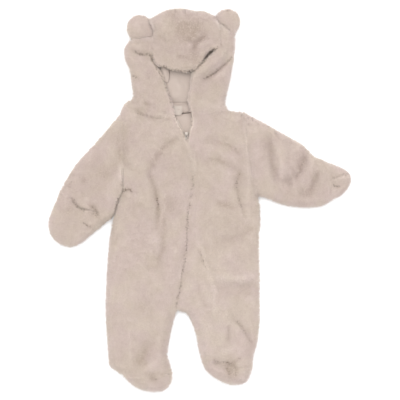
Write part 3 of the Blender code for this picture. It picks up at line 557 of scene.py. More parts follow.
# ------------------------------------------------------------------ creases
@dataclass(frozen=True)
class Crease:
    """A soft trough (negative depth) or ridge along a line of points, all in mm.

    The shade is painted shade that darkens the pile along it as a whole; below 0 it is painted
    light that makes it paler. The specks are the share of tufts right on the line that are painted
    dark, as painted shade.
    """

    SHADE_REACH = 1.3  # how much wider than the crease itself its shade is
    SPECK_REACH = 1.3  # mm, half the width of the line of dark tufts
    SPAN = 3.0  # widths from the line at which nothing is left of it
    FINENESS = 4  # points of the soft curve for each given one
    AT_END = 0.35  # what is left of it at its ends
    FADE = 6.0  # how fast it grows from there, for its whole length

    depth: float
    width: float
    points: Points
    shade: float = 0.0
    specks: float = 0.0

    def line(self) -> np.ndarray:
        """Points of a soft curve along the crease.

        Returns:
            An array of points, one x and y a row.
        """
        runs = np.linspace(0.0, lengths(self.points)[-1], self.FINENESS * len(self.points))
        line = follow(self.points, runs)
        line[1:-1] = 0.25 * line[:-2] + 0.5 * line[1:-1] + 0.25 * line[2:]
        return line

    def closeness(self, spots: np.ndarray, width: float) -> np.ndarray:
        """How near each spot is to the crease, fading out towards its ends.

        Args:
            spots: points in mm, one x and y a row.
            width: how far from the line the closeness has fallen to about a third, in mm.

        Returns:
            From 1 on the crease to 0 far from it.
        """
        best = np.zeros(len(spots))
        line = self.line()
        margin = self.SPAN * width
        near = np.flatnonzero(np.all((spots > line.min(axis=0) - margin)
                                     & (spots < line.max(axis=0) + margin), axis=1))
        for k, (start, end) in enumerate(zip(line[:-1], line[1:])):
            share, away = to_stretch(spots[near], start, end)
            along = (k + share) / (len(line) - 1)
            strength = np.clip(self.FADE * np.minimum(along, 1.0 - along) + self.AT_END, 0.0, 1.0)
            best[near] = np.maximum(best[near], strength * np.exp(-(away / width) ** 2))
        return best

    def drop(self, spots: np.ndarray) -> np.ndarray:
        """How far the crease moves each spot up, in mm."""
        return self.depth * self.closeness(spots, self.width)


FLEECE_CREASES = tuple(Crease(*row) for row in (
    # depth, width, points, painted shade and painted dark specks
    # hood: brim, left flap, crown, right cheek
    (-2.0, 3.0, ((-125, 290), (-112, 283), (-103, 284), (-92, 281)), 0.15, 0.6),
    (-2.0, 2.5, ((-92, 281), (-89, 272)), 0.4, 0.8),
    (-1.0, 2.0, ((-88, 268), (-83, 256), (-77, 246), (-71, 237), (-67, 224)), 0.15, 0.5),
    (0.0, 2.0, ((-66, 224), (-58, 202), (-54, 188)), 0.05, 0.25),
    (0.0, 2.0, ((-76, 261), (-67, 260), (-60, 254), (-50, 252), (-24, 250), (-8, 252), (4, 263)),
     0.2, 0.6),
    (0.0, 2.5, ((39, 297), (21, 287), (11, 271), (-2, 257)), 0.2, 0.7),
    (2.0, 2.5, ((33, 352), (45, 338), (62, 326)), -0.5),
    (1.5, 2.5, ((-98, 352), (-91, 338), (-93, 326)), -0.4),
    (1.0, 2.5, ((-125, 314), (-108, 317), (-96, 320)), -0.15),
    (-2.0, 3.5, ((12, 319), (-5, 306), (-11, 293)), 0.38, 0.08),
    (-1.0, 2.5, ((-41, 278), (-33, 277), (-24, 276)), 0.3, 0.08),
    (-1.5, 3.0, ((-78, 319), (-72, 316), (-66, 310)), 0.3),
    (-2.5, 3.0, ((66, 280), (49, 263), (35, 250), (10, 236)), 0.3, 0.75),
    (-1.0, 2.0, ((-131, 243), (-121, 238)), 0.25, 0.5),
    (-0.9, 3.5, ((-125, 172), (-110, 166), (-97, 162), (-86, 160)), 0.15, 0.04),
    (-1.0, 2.5, ((-106, 190), (-93, 185)), 0.22, 0.1),
    (1.0, 3.0, ((-5, 192), (20, 188), (45, 184)), -0.15),
    # edges of the open zip, its closing line and the chest
    (0.0, 2.0, ((-18, 178), (-15, 162), (-14, 150), (-19, 132), (-23, 118)), 0.25, 0.5),
    (0.0, 2.0, ((-51, 166), (-41, 144), (-31, 123)), 0.15, 0.25),
    (2.0, 4.0, ((-27, 120), (-18, 97), (-10, 77), (-8, 54)), -0.12),
    (-1.2, 2.5, ((-12, 48), (-13, 28)), 0.12, 0.2),
    (-2.0, 6.0, ((-45, 117), (-61, 109), (-74, 95), (-82, 81), (-90, 66), (-100, 58)), 0.28),
    (-3.0, 4.0, ((-100, 57), (-94, 40), (-85, 22), (-83, 3), (-80, -13), (-81, -28), (-83, -56)),
     0.3),
    (0.0, 2.0, ((-83, 5), (-80, -10), (-80, -20)), 0.1, 0.5),
    (-2.0, 5.0, ((-69, -30), (-69, -60), (-70, -93), (-80, -122)), 0.28),
    (-1.5, 5.0, ((10, 117), (26, 113), (45, 109), (61, 105)), 0.2),
    (-1.5, 3.5, ((61, 105), (70, 97), (78, 90)), 0.25, 0.1),
    (-1.5, 6.0, ((14, 73), (29, 81), (45, 73), (61, 66), (77, 58)), 0.18),
    (-1.6, 5.0, ((81, 56), (76, 42), (73, 30), (74, 15)), 0.2, 0.1),
    (-1.0, 2.5, ((74, 15), (76, 2), (84, -17), (89, -36)), 0.2, 0.12),
    (-1.5, 5.0, ((37, -7), (53, -12), (69, -17)), 0.25),
    (-1.5, 7.0, ((41, -87), (60, -80), (84, -70), (102, -56)), 0.14),
    # armpit
    (-3.0, 3.0, ((-151, 15), (-143, 19), (-135, 20), (-131, 14)), 0.3, 0.8),
    (0.0, 3.0, ((-151, 13), (-161, 1), (-163, -13), (-170, -30)), 0.0, 0.2),
    (-1.0, 2.0, ((-151, 34), (-155, 25)), 0.2, 0.6),
    (2.0, 3.0, ((-153, 68), (-152, 52), (-151, 38)), -0.3),
    # left sleeve and the mouth of its mitten
    (-1.5, 9.0, ((-151, 110), (-153, 80), (-168, 62), (-184, 40)), 0.22),
    (1.5, 9.0, ((-158, 48), (-170, 20), (-178, -18)), -0.2),
    (-1.0, 4.0, ((-225, 42), (-226, 30)), 0.25),
    (-1.0, 2.5, ((-249, 3), (-239, -13), (-230, -20), (-217, -21), (-204, -30), (-197, -37)),
     0.2, 0.35),
    (-2.0, 2.5, ((-214, -10), (-201, -20), (-196, -34)), 0.35, 0.4),
    (-1.5, 2.0, ((-226, -46), (-210, -55)), 0.3, 0.75),
    (0.0, 3.0, ((-252, 33), (-254, 22)), 0.1, 0.25),
    # right sleeve and mitten
    (0.0, 2.0, ((84, 166), (91, 120), (96, 70), (98, 22)), -0.18),
    (0.0, 5.0, ((192, 44), (182, 38), (168, 33)), -0.12),
    (-2.2, 6.0, ((137, 128), (141, 101), (144, 74), (149, 54), (152, 36)), 0.22),
    (1.5, 5.0, ((157, 105), (161, 70), (163, 38)), -0.12),
    (-3.0, 7.0, ((209, 92), (204, 72), (198, 54), (186, 40), (165, 32)), 0.28),
    (0.0, 2.5, ((206, 85), (203, 70), (198, 54), (190, 43)), 0.1, 0.08),
    (-2.4, 6.0, ((234, 55), (227, 38), (222, 22), (213, 9)), 0.33),
    (0.0, 14.0, ((165, 14), (190, 10), (212, 12)), 0.2),
    (-1.5, 2.0, ((262, 27), (279, 25)), 0.2, 0.5),
    (-1.5, 2.0, ((262, 42), (276, 46), (283, 50), (294, 49)), 0.2, 0.25),
    (1.0, 2.0, ((266, 38), (280, 44), (295, 44)), -0.3),
    # right leg and foot
    (1.5, 3.0, ((-10, -55), (7, -104), (17, -138), (31, -177), (31, -226)), -0.2),
    (-1.2, 2.5, ((-1, -97), (7, -118), (17, -142)), 0.18, 0.08),
    (-1.2, 3.5, ((-3, -160), (2, -192), (14, -214)), 0.15),
    (2.0, 6.0, ((31, -153), (70, -154), (110, -150)), -0.2),
    (-1.0, 10.0, ((40, -176), (70, -180), (100, -178)), 0.22),
    (-1.8, 3.0, ((70, -234), (83, -248), (93, -265), (105, -286)), 0.22, 0.1),
    (-1.5, 2.5, ((58, -246), (56, -280)), 0.3),
    (2.0, 5.0, ((39, -297), (61, -291), (80, -297), (88, -306)), -0.2),
    (-2.0, 3.0, ((28, -315), (42, -320), (52, -317), (62, -322), (70, -316), (86, -307)), 0.3, 0.3),
    (-1.5, 3.5, ((54, -320), (57, -334), (61, -349)), 0.25, 0.1),
    (-1.5, 3.0, ((68, -322), (74, -332), (70, -345)), 0.25, 0.12),
    # left leg and foot
    (1.0, 2.5, ((-135, -226), (-135, -275), (-135, -322)), -0.12),
    (-2.0, 8.0, ((-98, -279), (-106, -305), (-120, -328)), 0.25),
    (1.5, 5.0, ((-96, -330), (-90, -320), (-83, -312)), -0.15),
    (-1.2, 5.0, ((-96, -342), (-90, -349), (-84, -353)), 0.18, 0.08),
))


@dataclass(frozen=True)
class Blotch:
    """A soft stretch of pile that looks darker (or paler, below 0), in mm."""

    x: float
    y: float
    spread: float
    amount: float

    def at(self, spots: np.ndarray) -> np.ndarray:
        """How much darker each spot is, as a share of the pile's range of tints."""
        reach = (spots[:, 0] - self.x) ** 2 + (spots[:, 1] - self.y) ** 2
        return self.amount * np.exp(-reach / self.spread ** 2)


# partly the pile's own uneven colour, partly painted shade in folds and hollows such as those of
# the right foot; the whole areas darken or lighten it over a wide stretch
BLOTCHES = tuple(Blotch(*row) for row in (
    # whole areas
    (32, -200, 80, -0.15), (-215, 10, 70, 0.14), (-20, 312, 75, 0.1), (-110, 235, 45, 0.09),
    # hood
    (-18, 326, 20, 0.45), (-34, 335, 18, 0.25), (-53, 364, 14, 0.2), (-8, 338, 12, 0.25),
    (-18, 301, 5, -0.5), (-2, 322, 4, -0.3), (-8, 277, 13, 0.28), (-18, 305, 45, 0.12),
    (-110, 300, 25, 0.12), (30, 228, 18, 0.15), (-105, 178, 18, 0.2), (0, 205, 12, 0.15),
    # chest
    (-57, 70, 26, 0.14), (-60, -12, 20, 0.2), (37, 81, 9, 0.14), (6, 30, 12, 0.14),
    (53, -9, 12, 0.18), (85, 40, 12, 0.12), (-123, -24, 18, 0.12),
    # left sleeve
    (-145, 125, 26, 0.18), (-200, 85, 16, 0.12), (-193, 52, 16, 0.22), (-255, -35, 22, 0.12),
    # right sleeve
    (185, 60, 20, 0.12), (130, 100, 20, 0.1),
    # left leg and foot
    (-86, -128, 12, 0.2), (-86, -83, 12, -0.2), (-110, -211, 16, 0.18), (-150, -190, 24, -0.15),
    (-106, -310, 16, 0.18), (-130, -250, 25, -0.12), (-91, -348, 8, 0.2),
    # right leg and foot
    (72, -65, 24, 0.1), (61, -332, 13, 0.45), (20, -285, 30, -0.15),
))


@dataclass(frozen=True)
class Gather:
    """A line towards which panels are drawn, so that their pile nearly meets, in mm."""

    panels: tuple[str, ...]
    pull: float
    reach: float
    points: Points
    walls: bool = False  # whether the walls inside the seam move too

    def draw(self, vertices: list[BMVert]) -> None:
        """Move the cloth's vertices towards the line.

        Args:
            vertices: the vertices that may move.
        """
        line = np.array(self.points, float)
        spots = flat(vertices)
        ways = np.array([a + to_stretch(spots, a, b)[0][:, None] * (b - a) - spots
                         for a, b in zip(line[:-1], line[1:])])
        nearest = np.linalg.norm(ways, axis=2).argmin(axis=0)
        for vertex, way in zip(vertices, ways[nearest, np.arange(len(spots))]):
            away = float(np.linalg.norm(way))
            if 0.0 < away < Crease.SPAN * self.reach:
                step = min(self.pull * math.exp(-(away / self.reach) ** 2), away)
                vertex.co += Vector((*(way / away * step), 0.0)) * MM


GATHERS = tuple(Gather(*row) for row in (
    (("hood_crown", "hood_side_right"), 3.2, 9.0, ((39, 297), (21, 285), (10, 269), (-2, 256))),
    (("hood_crown", "hood_side_right"), 1.0, 9.0, ((34, 294), (21, 285), (10, 269)), True),
    (("hood_crown", "hood_side_left"), 3.0, 10.0, ((-90, 277), (-84, 267), (-76, 261)), True),
    (("hood_side_left",), 2.5, 8.0, ((-81, 262), (-75, 252), (-70, 243)), True),
    (("hood_crown",), 4.5, 10.0, ((-36, 257), (-18, 257), (-2, 261)), True),
    (("sleeve_left", "front_left", "back_left"), 3.6, 9.0, ((-151, 22), (-161, 1), (-168, -24))),
    (("sleeve_right", "front_right", "back_right"), 2.5, 7.0, ((100, 15), (109, 8), (116, 6))),
    (("front_right",), 4.5, 11.0, ((-23, 139), (-27, 132), (-28, 124))),
    (("sleeve_left", "mitten_left"), 2.6, 8.0,
     ((-256, 8), (-247, -2), (-238, -12), (-220, -18), (-203, -26))),
))
LINING_CREASES = (
    Crease(-1.2, 3.5, ((-39, 240), (-29, 226), (-22, 204))),
    Crease(1.4, 5.0, ((-46, 236), (-38, 220), (-36, 202))),
    Crease(0.9, 4.0, ((-60, 226), (-54, 212), (-50, 200))),
)
# the two edges of the open V, and the line along which the fronts meet below it
V_EDGE_LEFT = ((-49, 168), (-39, 146), (-31, 132), (-29, 122), (-24, 113))
V_EDGE_RIGHT = ((-16, 173), (-13, 156), (-14, 146), (-18, 133), (-20, 122), (-24, 113))
ZIP_LINE = ((-8, 48), (-13, 19), (-19, -11), (-23, -40),
            (-23, -79), (-27, -118), (-32, -138), (-36, -171), (-43, -197), (-46, -217))
# the inside of the neck, where the fleece shows its bare back: two corners of a box, in mm
INSIDE_LOW = (-64.0, 120.0, 0.0)
INSIDE_HIGH = (-10.0, 256.0, 14.0)


# ------------------------------------------------------------------ fleece
@dataclass
class Panel:
    """One cut piece of fleece: a finer copy of its solid with its creases, under its pile."""

    node: str
    flat_size: tuple[float, float]
    area: float
    seed: int
    side_inset: float = 0.8 * MM  # as inset, where the cloth turns down and the pile stands off
    rests_on: str = "floor"
    inset: float = 2.0 * MM  # the pile stands from here out to the solid's surface
    coarse_edge: float = 11 * MM
    fine_edge: float = 4.6 * MM
    rounds: int = 4  # of smoothing
    upper_from: float = 0.25  # how far up cloth looks that takes creases
    nap: float = 0.7 * MM  # height of the soft lumps in the cloth
    lumps: tuple[float, float] = (16 * MM, 7 * MM)  # sizes of the large and the small ones
    bare_at_v: float = 2.0  # mm beside the open zip, where the pile is stitched down
    bare_fade: float = 1.5  # mm over which the pile begins there
    open_from: float = 125.0  # mm, below it the pile closes over the slider
    open_fade: float = 8.0  # mm over which it opens
    pressed: float = 0.34  # length of the pile that the garment lies on
    full_from: float = 6 * MM  # the height from which the pile stands at its full length
    seam_pile: float = 1.7  # share of pile at a seam, which it closes over
    between: float = 1.5  # share of pile inside a seam that is open above
    rim: float = 0.1  # how much paler the pile on the steep sides is painted, as painted light

    def cloth(self, around: Surroundings, ground: Material) -> Object:
        """Build the cloth itself.

        Args:
            around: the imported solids.
            ground: the fleece's knitted ground.

        Returns:
            The piece, with all that its pile needs on its vertices.
        """
        builder = solid_copy(self.node)
        refine(builder, self.coarse_edge)
        outer = {v for v, side in around.sides(builder).items() if side is Side.UPPER}
        refine(builder, self.fine_edge, outer)
        sides = around.sides(builder)
        seam = {v for v in builder.verts if around.at_seam(self.node, v.co)}
        for vertex, side in sides.items():
            if side is not Side.HIDDEN and vertex not in seam:
                level = abs(vertex.normal.z) * (self.inset - self.side_inset)
                vertex.co -= vertex.normal * (self.side_inset + level)
        free = [v for v, side in sides.items() if side is Side.UPPER and v not in seam]
        for _ in range(self.rounds):
            bmesh.ops.smooth_vert(builder, verts=free, factor=0.5, use_axis_x=True,
                                  use_axis_y=True, use_axis_z=True)
        self.crease(builder, free)
        for gather in GATHERS:
            if self.node in gather.panels:
                gather.draw([v for v in builder.verts if v not in seam] if gather.walls else free)
        values = self.pile_values(builder, around, sides, seam)
        piece = from_builder(self.node + "_cloth", builder, ground)
        for name, numbers in values.items():
            attribute = piece.data.attributes.new(name, "FLOAT", "POINT")
            attribute.data.foreach_set("value", np.asarray(numbers, np.float32))
        return piece

    def pile_values(self, builder: BMesh, around: Surroundings, sides: dict[BMVert, Side],
                    seam: set[BMVert]) -> dict[str, np.ndarray | list[float]]:
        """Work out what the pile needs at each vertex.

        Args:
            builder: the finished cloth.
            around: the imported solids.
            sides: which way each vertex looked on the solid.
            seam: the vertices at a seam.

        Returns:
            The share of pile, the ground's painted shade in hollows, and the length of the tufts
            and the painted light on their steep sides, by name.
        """
        places = np.array([tuple(v.co) for v in builder.verts]) / MM
        spots = places[:, :2]
        hidden = np.array([sides[v] is Side.HIDDEN for v in builder.verts])
        between = np.array([sides[v] is Side.HIDDEN and not around.covered(v, UP)
                            for v in builder.verts])
        shares = np.where(between, self.between, [sides[v].value for v in builder.verts])
        bare = np.minimum(distances(spots, V_EDGE_LEFT), distances(spots, V_EDGE_RIGHT))
        sewn = self.bare_at_v * np.clip((spots[:, 1] - self.open_from) / self.open_fade, 0.0, 1.0)
        shares *= np.clip((bare - sewn) / self.bare_fade + (sewn <= 0.0), 0.0, 1.0)
        shares *= ~np.all((places > INSIDE_LOW) & (places < INSIDE_HIGH), axis=1)
        shares *= np.where([v in seam for v in builder.verts], self.seam_pile, 1.0)
        tall = [self.pressed if sides[v] is Side.UNDER
                else min(1.0, max(self.pressed, v.co.z / self.full_from)) for v in builder.verts]
        # painted light: the pile on the steep sides is made paler, standing in for the light that
        # the table throws back
        steep = np.array([1.0 - max(v.normal.z, 0.0) for v in builder.verts])
        return {Pile.SHARE: shares, Pile.HOLLOW_SHADE: hidden & ~between, Pile.LENGTH: tall,
                Pile.SHADE: -self.rim * steep}

    def crease(self, builder: BMesh, free: list[BMVert]) -> None:
        """Press the creases and the soft lumps of the nap into the upper cloth.

        Args:
            builder: the mesh.
            free: the vertices that may move.
        """
        builder.normal_update()
        upper = [v for v in free if v.normal.z > self.upper_from]
        if not upper:
            return
        changes = [one.drop(flat(upper)) for one in FLEECE_CREASES]
        drops = np.min(changes, axis=0).clip(max=0.0) + np.max(changes, axis=0).clip(min=0.0)
        large, small = self.lumps
        for vertex, drop in zip(upper, drops):
            lump = noise.noise(vertex.co / large) + 0.5 * noise.noise(vertex.co / small)
            vertex.co.z += (drop * MM + lump * self.nap) * vertex.normal.z


@dataclass(frozen=True)
class Blade:
    """One curled tuft of pile, in mm."""

    STEPS = 2  # faces up a tuft
    TAPER = 0.8  # the share of its width that is gone at the tip

    length: float
    width: float
    bend: float  # degrees that it turns over its length
    twist: float  # degrees that its tip turns sideways

    def make(self, name: str) -> Object:
        """Build the tuft as a narrow curled strip on the origin.

        Args:
            name: the object's name.

        Returns:
            The object, which is only a pattern for copies.
        """
        builder = bmesh.new()
        builder.loops.layers.uv.new(Pile.OWN_MAP)
        bmesh.ops.create_grid(builder, x_segments=1, y_segments=self.STEPS, size=0.5, calc_uvs=True)
        bend, twist = math.radians(self.bend), math.radians(self.twist)
        for vertex in builder.verts:
            share = vertex.co.y + 0.5
            half = self.width * vertex.co.x * (1.0 - self.TAPER * share ** 2)
            out = self.length * (1 - math.cos(bend * share)) / bend
            up = self.length * math.sin(bend * share) / bend
            vertex.co = Vector((out + half * math.sin(twist * share),
                                half * math.cos(twist * share), up)) * MM
        builder.normal_update()
        if sum(face.normal.z - face.normal.x for face in builder.faces) < 0:
            bmesh.ops.reverse_faces(builder, faces=builder.faces)
        mesh = bpy.data.meshes.new(name)
        builder.to_mesh(mesh)
        builder.free()
        mesh.shade_smooth()
        return bpy.data.objects.new(name, mesh)


@dataclass
class Pile:
    """The pile of the fleece: tufts scattered over a cloth by Geometry Nodes, then made real."""

    MAP = "OFBake"  # across a tuft its tint, up it its height
    OWN_MAP = "blade"
    SHARE = "pile"
    # the ground's painted shade inside hollows that are closed above
    HOLLOW_SHADE = "tone"
    # painted light on the steep sides, stored as a shade below 0
    SHADE = "shade"
    LENGTH = "length"
    TINT = "tint"
    GROUND = "ground"

    finish: Material
    density: float = 525000.0  # tufts a square metre
    lean: float = 1.0  # how far soft areas of nap turn the brushing
    scatter: float = 0.9  # how far each tuft turns by itself
    unevenness: float = 0.25  # how far each tuft stands off the square
    brush: tuple[float, float, float] = (0.0, -0.5, -1.0)  # brushed down the garment and its sides
    sizes: tuple[float, float] = (0.7, 1.15)  # the smallest and the largest tuft
    softness: float = 0.75  # share of the cloth's own direction in a tuft's shading
    upward: float = 0.4  # how far that direction is turned up, as light leaks round tufts
    nap_mm: float = 26.0  # size of the areas that lean one way
    palest_dark: float = 0.3  # the tint of the darkest tuft outside a crease
    speck_shade_strength: float = 0.85  # how much darker a tuft is where it is painted dark as a speck of shade
    mottle: float = 0.8  # how strong the soft clouds in the tint are
    mottle_mm: float = 14.0
    own_tint: float = 0.03  # mean and spread of what each tuft adds
    own_spread: float = 0.14
    across: float = 0.02  # how much the tint changes from side to side of a tuft
    zip_specks: float = 0.34  # share of tufts painted dark, as painted shade, where the fronts meet
    zip_reach: float = 1.5  # mm
    zip_shade: float = 0.17
    zip_faint: float = 0.45  # what is left of the line over the chest
    zip_fades: tuple[float, float] = (-40.0, -15.0)  # mm, the stretch over which it gets fainter
    stray: float = 0.8  # mm, how far the dark tufts stray from their line
    top_from: float = 7 * MM  # tufts lower than this belong to the underside
    blades: tuple[Blade, ...] = (
        Blade(5.0, 1.35, 75.0, 30.0),
        Blade(4.4, 1.2, 110.0, -40.0),
        Blade(5.4, 1.1, 60.0, 50.0),
        Blade(4.0, 1.5, 95.0, -20.0),
    )
    patterns: Collection = field(init=False)

    def __post_init__(self) -> None:
        """Make the tufts that are copied."""
        self.patterns = bpy.data.collections.new("tuft_patterns")
        for k, blade in enumerate(self.blades):
            self.patterns.objects.link(blade.make(f"tuft_{k}"))

    def nodes(self, seed: int) -> NodeTree:
        """Build the scattering of the tufts.

        Args:
            seed: chooses the random places, and those after it the other random values.

        Returns:
            The node group, from a cloth to its tufts.
        """
        tree = bpy.data.node_groups.new("teddy_pile", "GeometryNodeTree")
        for way in ("INPUT", "OUTPUT"):
            tree.interface.new_socket("Geometry", in_out=way, socket_type="NodeSocketGeometry")
        share, height, shade, tint = (add(tree, NAMED, {"Name": name}, data_type="FLOAT")
                                      for name in (self.SHARE, self.LENGTH, self.SHADE, self.TINT))
        blade, ground = (add(tree, NAMED, {"Name": name}, data_type="FLOAT_VECTOR")
                         for name in (self.OWN_MAP, self.GROUND))
        place = add(tree, "GeometryNodeInputPosition")
        dense = add(tree, MATH, {0: share, 1: self.density}, operation="MULTIPLY")
        spots = add(tree, "GeometryNodeDistributePointsOnFaces",
                    {"Mesh": add(tree, "NodeGroupInput"), "Density": dense, "Seed": seed})
        # the way it is brushed: soft areas lean together, and each tuft a little by itself
        nap = add(tree, NOISE, {"Vector": place, "Scale": 1 / (self.nap_mm * MM), "Detail": 2.0,
                                "Roughness": 0.6})
        centred = add(tree, VECTORS, {0: nap.outputs["Color"], 1: (0.5, 0.5, 0.5)},
                      operation="SUBTRACT")
        leaning = add(tree, VECTORS, {0: centred, "Scale": self.lean}, operation="SCALE")
        random = add(tree, RANDOM, {0: (-1.0, -1.0, -1.0), 1: (1.0, 1.0, 1.0), "Seed": seed + 1},
                     data_type="FLOAT_VECTOR")
        loose = add(tree, VECTORS, {0: random, "Scale": self.scatter}, operation="SCALE")
        tipped = add(tree, VECTORS, {0: leaning, 1: loose}, operation="ADD")
        brushed = add(tree, VECTORS, {0: tipped, 1: self.brush}, operation="ADD")
        tilt = add(tree, VECTORS, {0: random, "Scale": self.unevenness}, operation="SCALE")
        growth = add(tree, VECTORS, {0: spots.outputs["Normal"], 1: tilt}, operation="ADD")
        # each tuft stands on the cloth and curls over the way it is brushed, its broad side out
        turned = add(tree, "FunctionNodeAxesToRotation", {0: growth, 1: brushed},
                     primary_axis="Z", secondary_axis="X")
        size = add(tree, RANDOM, {2: self.sizes[0], 3: self.sizes[1], "Seed": seed + 3},
                   data_type="FLOAT")
        sized = add(tree, MATH, {0: size, 1: height}, operation="MULTIPLY")
        pick = add(tree, RANDOM, {4: 0, 5: len(self.blades) - 1, "Seed": seed + 4}, data_type="INT")
        patterns = add(tree, "GeometryNodeCollectionInfo",
                       {"Collection": self.patterns, "Separate Children": True,
                        "Reset Children": True})
        upward = add(tree, VECTORS, {0: spots.outputs["Normal"], 1: (0.0, 0.0, self.upward)},
                     operation="ADD")
        grounded = add(tree, STORE, {"Geometry": spots, "Name": self.GROUND, "Value": upward},
                       data_type="FLOAT_VECTOR", domain="POINT")
        tufts = add(tree, "GeometryNodeInstanceOnPoints",
                    {"Points": grounded, "Instance": patterns, "Pick Instance": True,
                     "Instance Index": pick, "Rotation": turned, "Scale": sized})
        # a tuft's tint: soft clouds over the cloth, and a little of its own
        clouds = add(tree, NOISE, {"Vector": place, "Scale": 1 / (self.mottle_mm * MM),
                                   "Detail": 4.0, "Roughness": 0.72})
        calm = add(tree, REMAP, {"Value": clouds, "From Min": 0.0, "From Max": 1.0,
                                 "To Min": 0.5 - self.mottle / 2, "To Max": 0.5 + self.mottle / 2})
        own = add(tree, RANDOM, {2: self.own_tint - self.own_spread,
                                 3: self.own_tint + self.own_spread, "Seed": seed + 5},
                  data_type="FLOAT")
        mixed = add(tree, MATH, {0: calm, 1: own}, operation="ADD")
        # painted light: the steep sides' shade below 0 makes their pile paler
        shaded = add(tree, MATH, {0: mixed, 1: shade}, operation="SUBTRACT")
        light = add(tree, REMAP, {"Value": shaded, "From Min": 0.0, "From Max": 1.0,
                                  "To Min": self.palest_dark, "To Max": 1.0})
        tinted = add(tree, STORE, {"Geometry": tufts, "Name": self.TINT, "Value": light},
                     data_type="FLOAT", domain="INSTANCE")
        real = add(tree, "GeometryNodeRealizeInstances", {"Geometry": tinted})
        parts = add(tree, "ShaderNodeSeparateXYZ", {"Vector": blade}).outputs
        across = add(tree, MATH, {0: parts["X"], 1: self.across}, operation="MULTIPLY")
        spread = add(tree, MATH, {0: tint, 1: across}, operation="ADD", use_clamp=True)
        spot = add(tree, "ShaderNodeCombineXYZ", {"X": spread, "Y": parts["Y"]})
        mapped = add(tree, STORE, {"Geometry": real, "Name": self.MAP, "Value": spot},
                     data_type="FLOAT2", domain="CORNER")
        # a crowd of fine hairs scatters light as the cloth under it would
        bent = add(tree, MIX, {"Factor": self.softness, 4: add(tree, "GeometryNodeInputNormal"),
                               5: ground}, data_type="VECTOR")
        clean = add(tree, "GeometryNodeSetMeshNormal", {"Mesh": mapped, "Custom Normal": bent},
                    mode="FREE", domain="POINT")
        for scratch in (self.OWN_MAP, self.TINT, self.GROUND):
            clean = add(tree, "GeometryNodeRemoveAttribute", {"Geometry": clean, "Name": scratch})
        add(tree, "NodeGroupOutput", {0: clean})
        return tree

    def grow(self, cloth: Object, name: str, seed: int) -> Object:
        """Grow the pile of one cloth.

        Args:
            cloth: the piece with its pile shares.
            name: the pile's name.
            seed: chooses the random places.

        Returns:
            The pile, as a mesh of its own.
        """
        piece = bpy.data.objects.new(name, cloth.data.copy())
        bpy.context.scene.collection.objects.link(piece)
        piece.modifiers.new("pile", "NODES").node_group = self.nodes(seed)
        graph = bpy.context.evaluated_depsgraph_get()
        mesh = bpy.data.meshes.new_from_object(piece.evaluated_get(graph), depsgraph=graph,
                                               preserve_all_data_layers=True)
        piece.modifiers.clear()
        mesh.materials.clear()
        mesh.materials.append(self.finish)
        mesh.polygons.foreach_set("material_index", np.zeros(len(mesh.polygons), np.int32))
        places = np.empty(3 * len(mesh.vertices), np.float32)
        mesh.vertices.foreach_get("co", places)
        places[2::3] = np.maximum(places[2::3], 0.0)  # the table presses the tufts flat
        mesh.vertices.foreach_set("co", places)
        self.tone(mesh, places.reshape(-1, 2 * (Blade.STEPS + 1), 3), seed)
        piece.data = mesh
        return piece

    def tone(self, mesh: Mesh, places: np.ndarray, seed: int) -> None:
        """Paint shade into the tufts in creases and along the closing line, and darken or lighten
        them in soft blotches, in their own maps.

        Args:
            mesh: the pile, whose tufts follow each other.
            places: where the vertices of each tuft are.
            seed: chooses the dark tufts.
        """
        middles = places.mean(axis=1)
        spots = middles[:, :2] / MM
        on_top = middles[:, 2] > self.top_from
        shade = sum(blotch.at(spots) for blotch in BLOTCHES)
        specks = np.zeros(len(spots))
        chance = np.random.default_rng(seed)
        strayed = spots + chance.normal(0.0, self.stray, spots.shape)
        for one in FLEECE_CREASES:
            if one.shade:
                shade = shade + one.shade * one.closeness(spots, one.width * one.SHADE_REACH)
            if one.specks:
                specks = np.maximum(specks, one.specks * one.closeness(strayed, one.SPECK_REACH))
        seam = np.exp(-(distances(strayed, ZIP_LINE) / self.zip_reach) ** 2)
        seam *= np.interp(spots[:, 1], self.zip_fades, (1.0, self.zip_faint))
        shade = shade + self.zip_shade * seam
        specks = np.maximum(specks, self.zip_specks * seam)
        # painted shade: tufts on the crease lines and the closing line turn dark at random
        dark = (chance.random(len(spots)) < specks) & on_top
        layer = mesh.attributes[self.MAP].data
        corners = np.empty(2 * len(mesh.loops), np.float32)
        layer.foreach_get("vector", corners)
        owners = np.empty(len(mesh.loops), np.int32)
        mesh.loops.foreach_get("vertex_index", owners)
        owners //= places.shape[1]
        tint = corners[0::2] - (1.0 - self.palest_dark) * (shade * on_top)[owners]
        speck_shade_strength = np.where(dark, 1.0 - self.speck_shade_strength, 1.0)
        corners[0::2] = np.clip(tint, self.palest_dark, 1.0) * speck_shade_strength[owners]
        layer.foreach_set("vector", corners)

    def put_away(self) -> None:
        """Remove the patterns once every pile is real."""
        for pattern in list(self.patterns.objects):
            bpy.data.objects.remove(pattern, do_unlink=True)
        bpy.data.collections.remove(self.patterns)


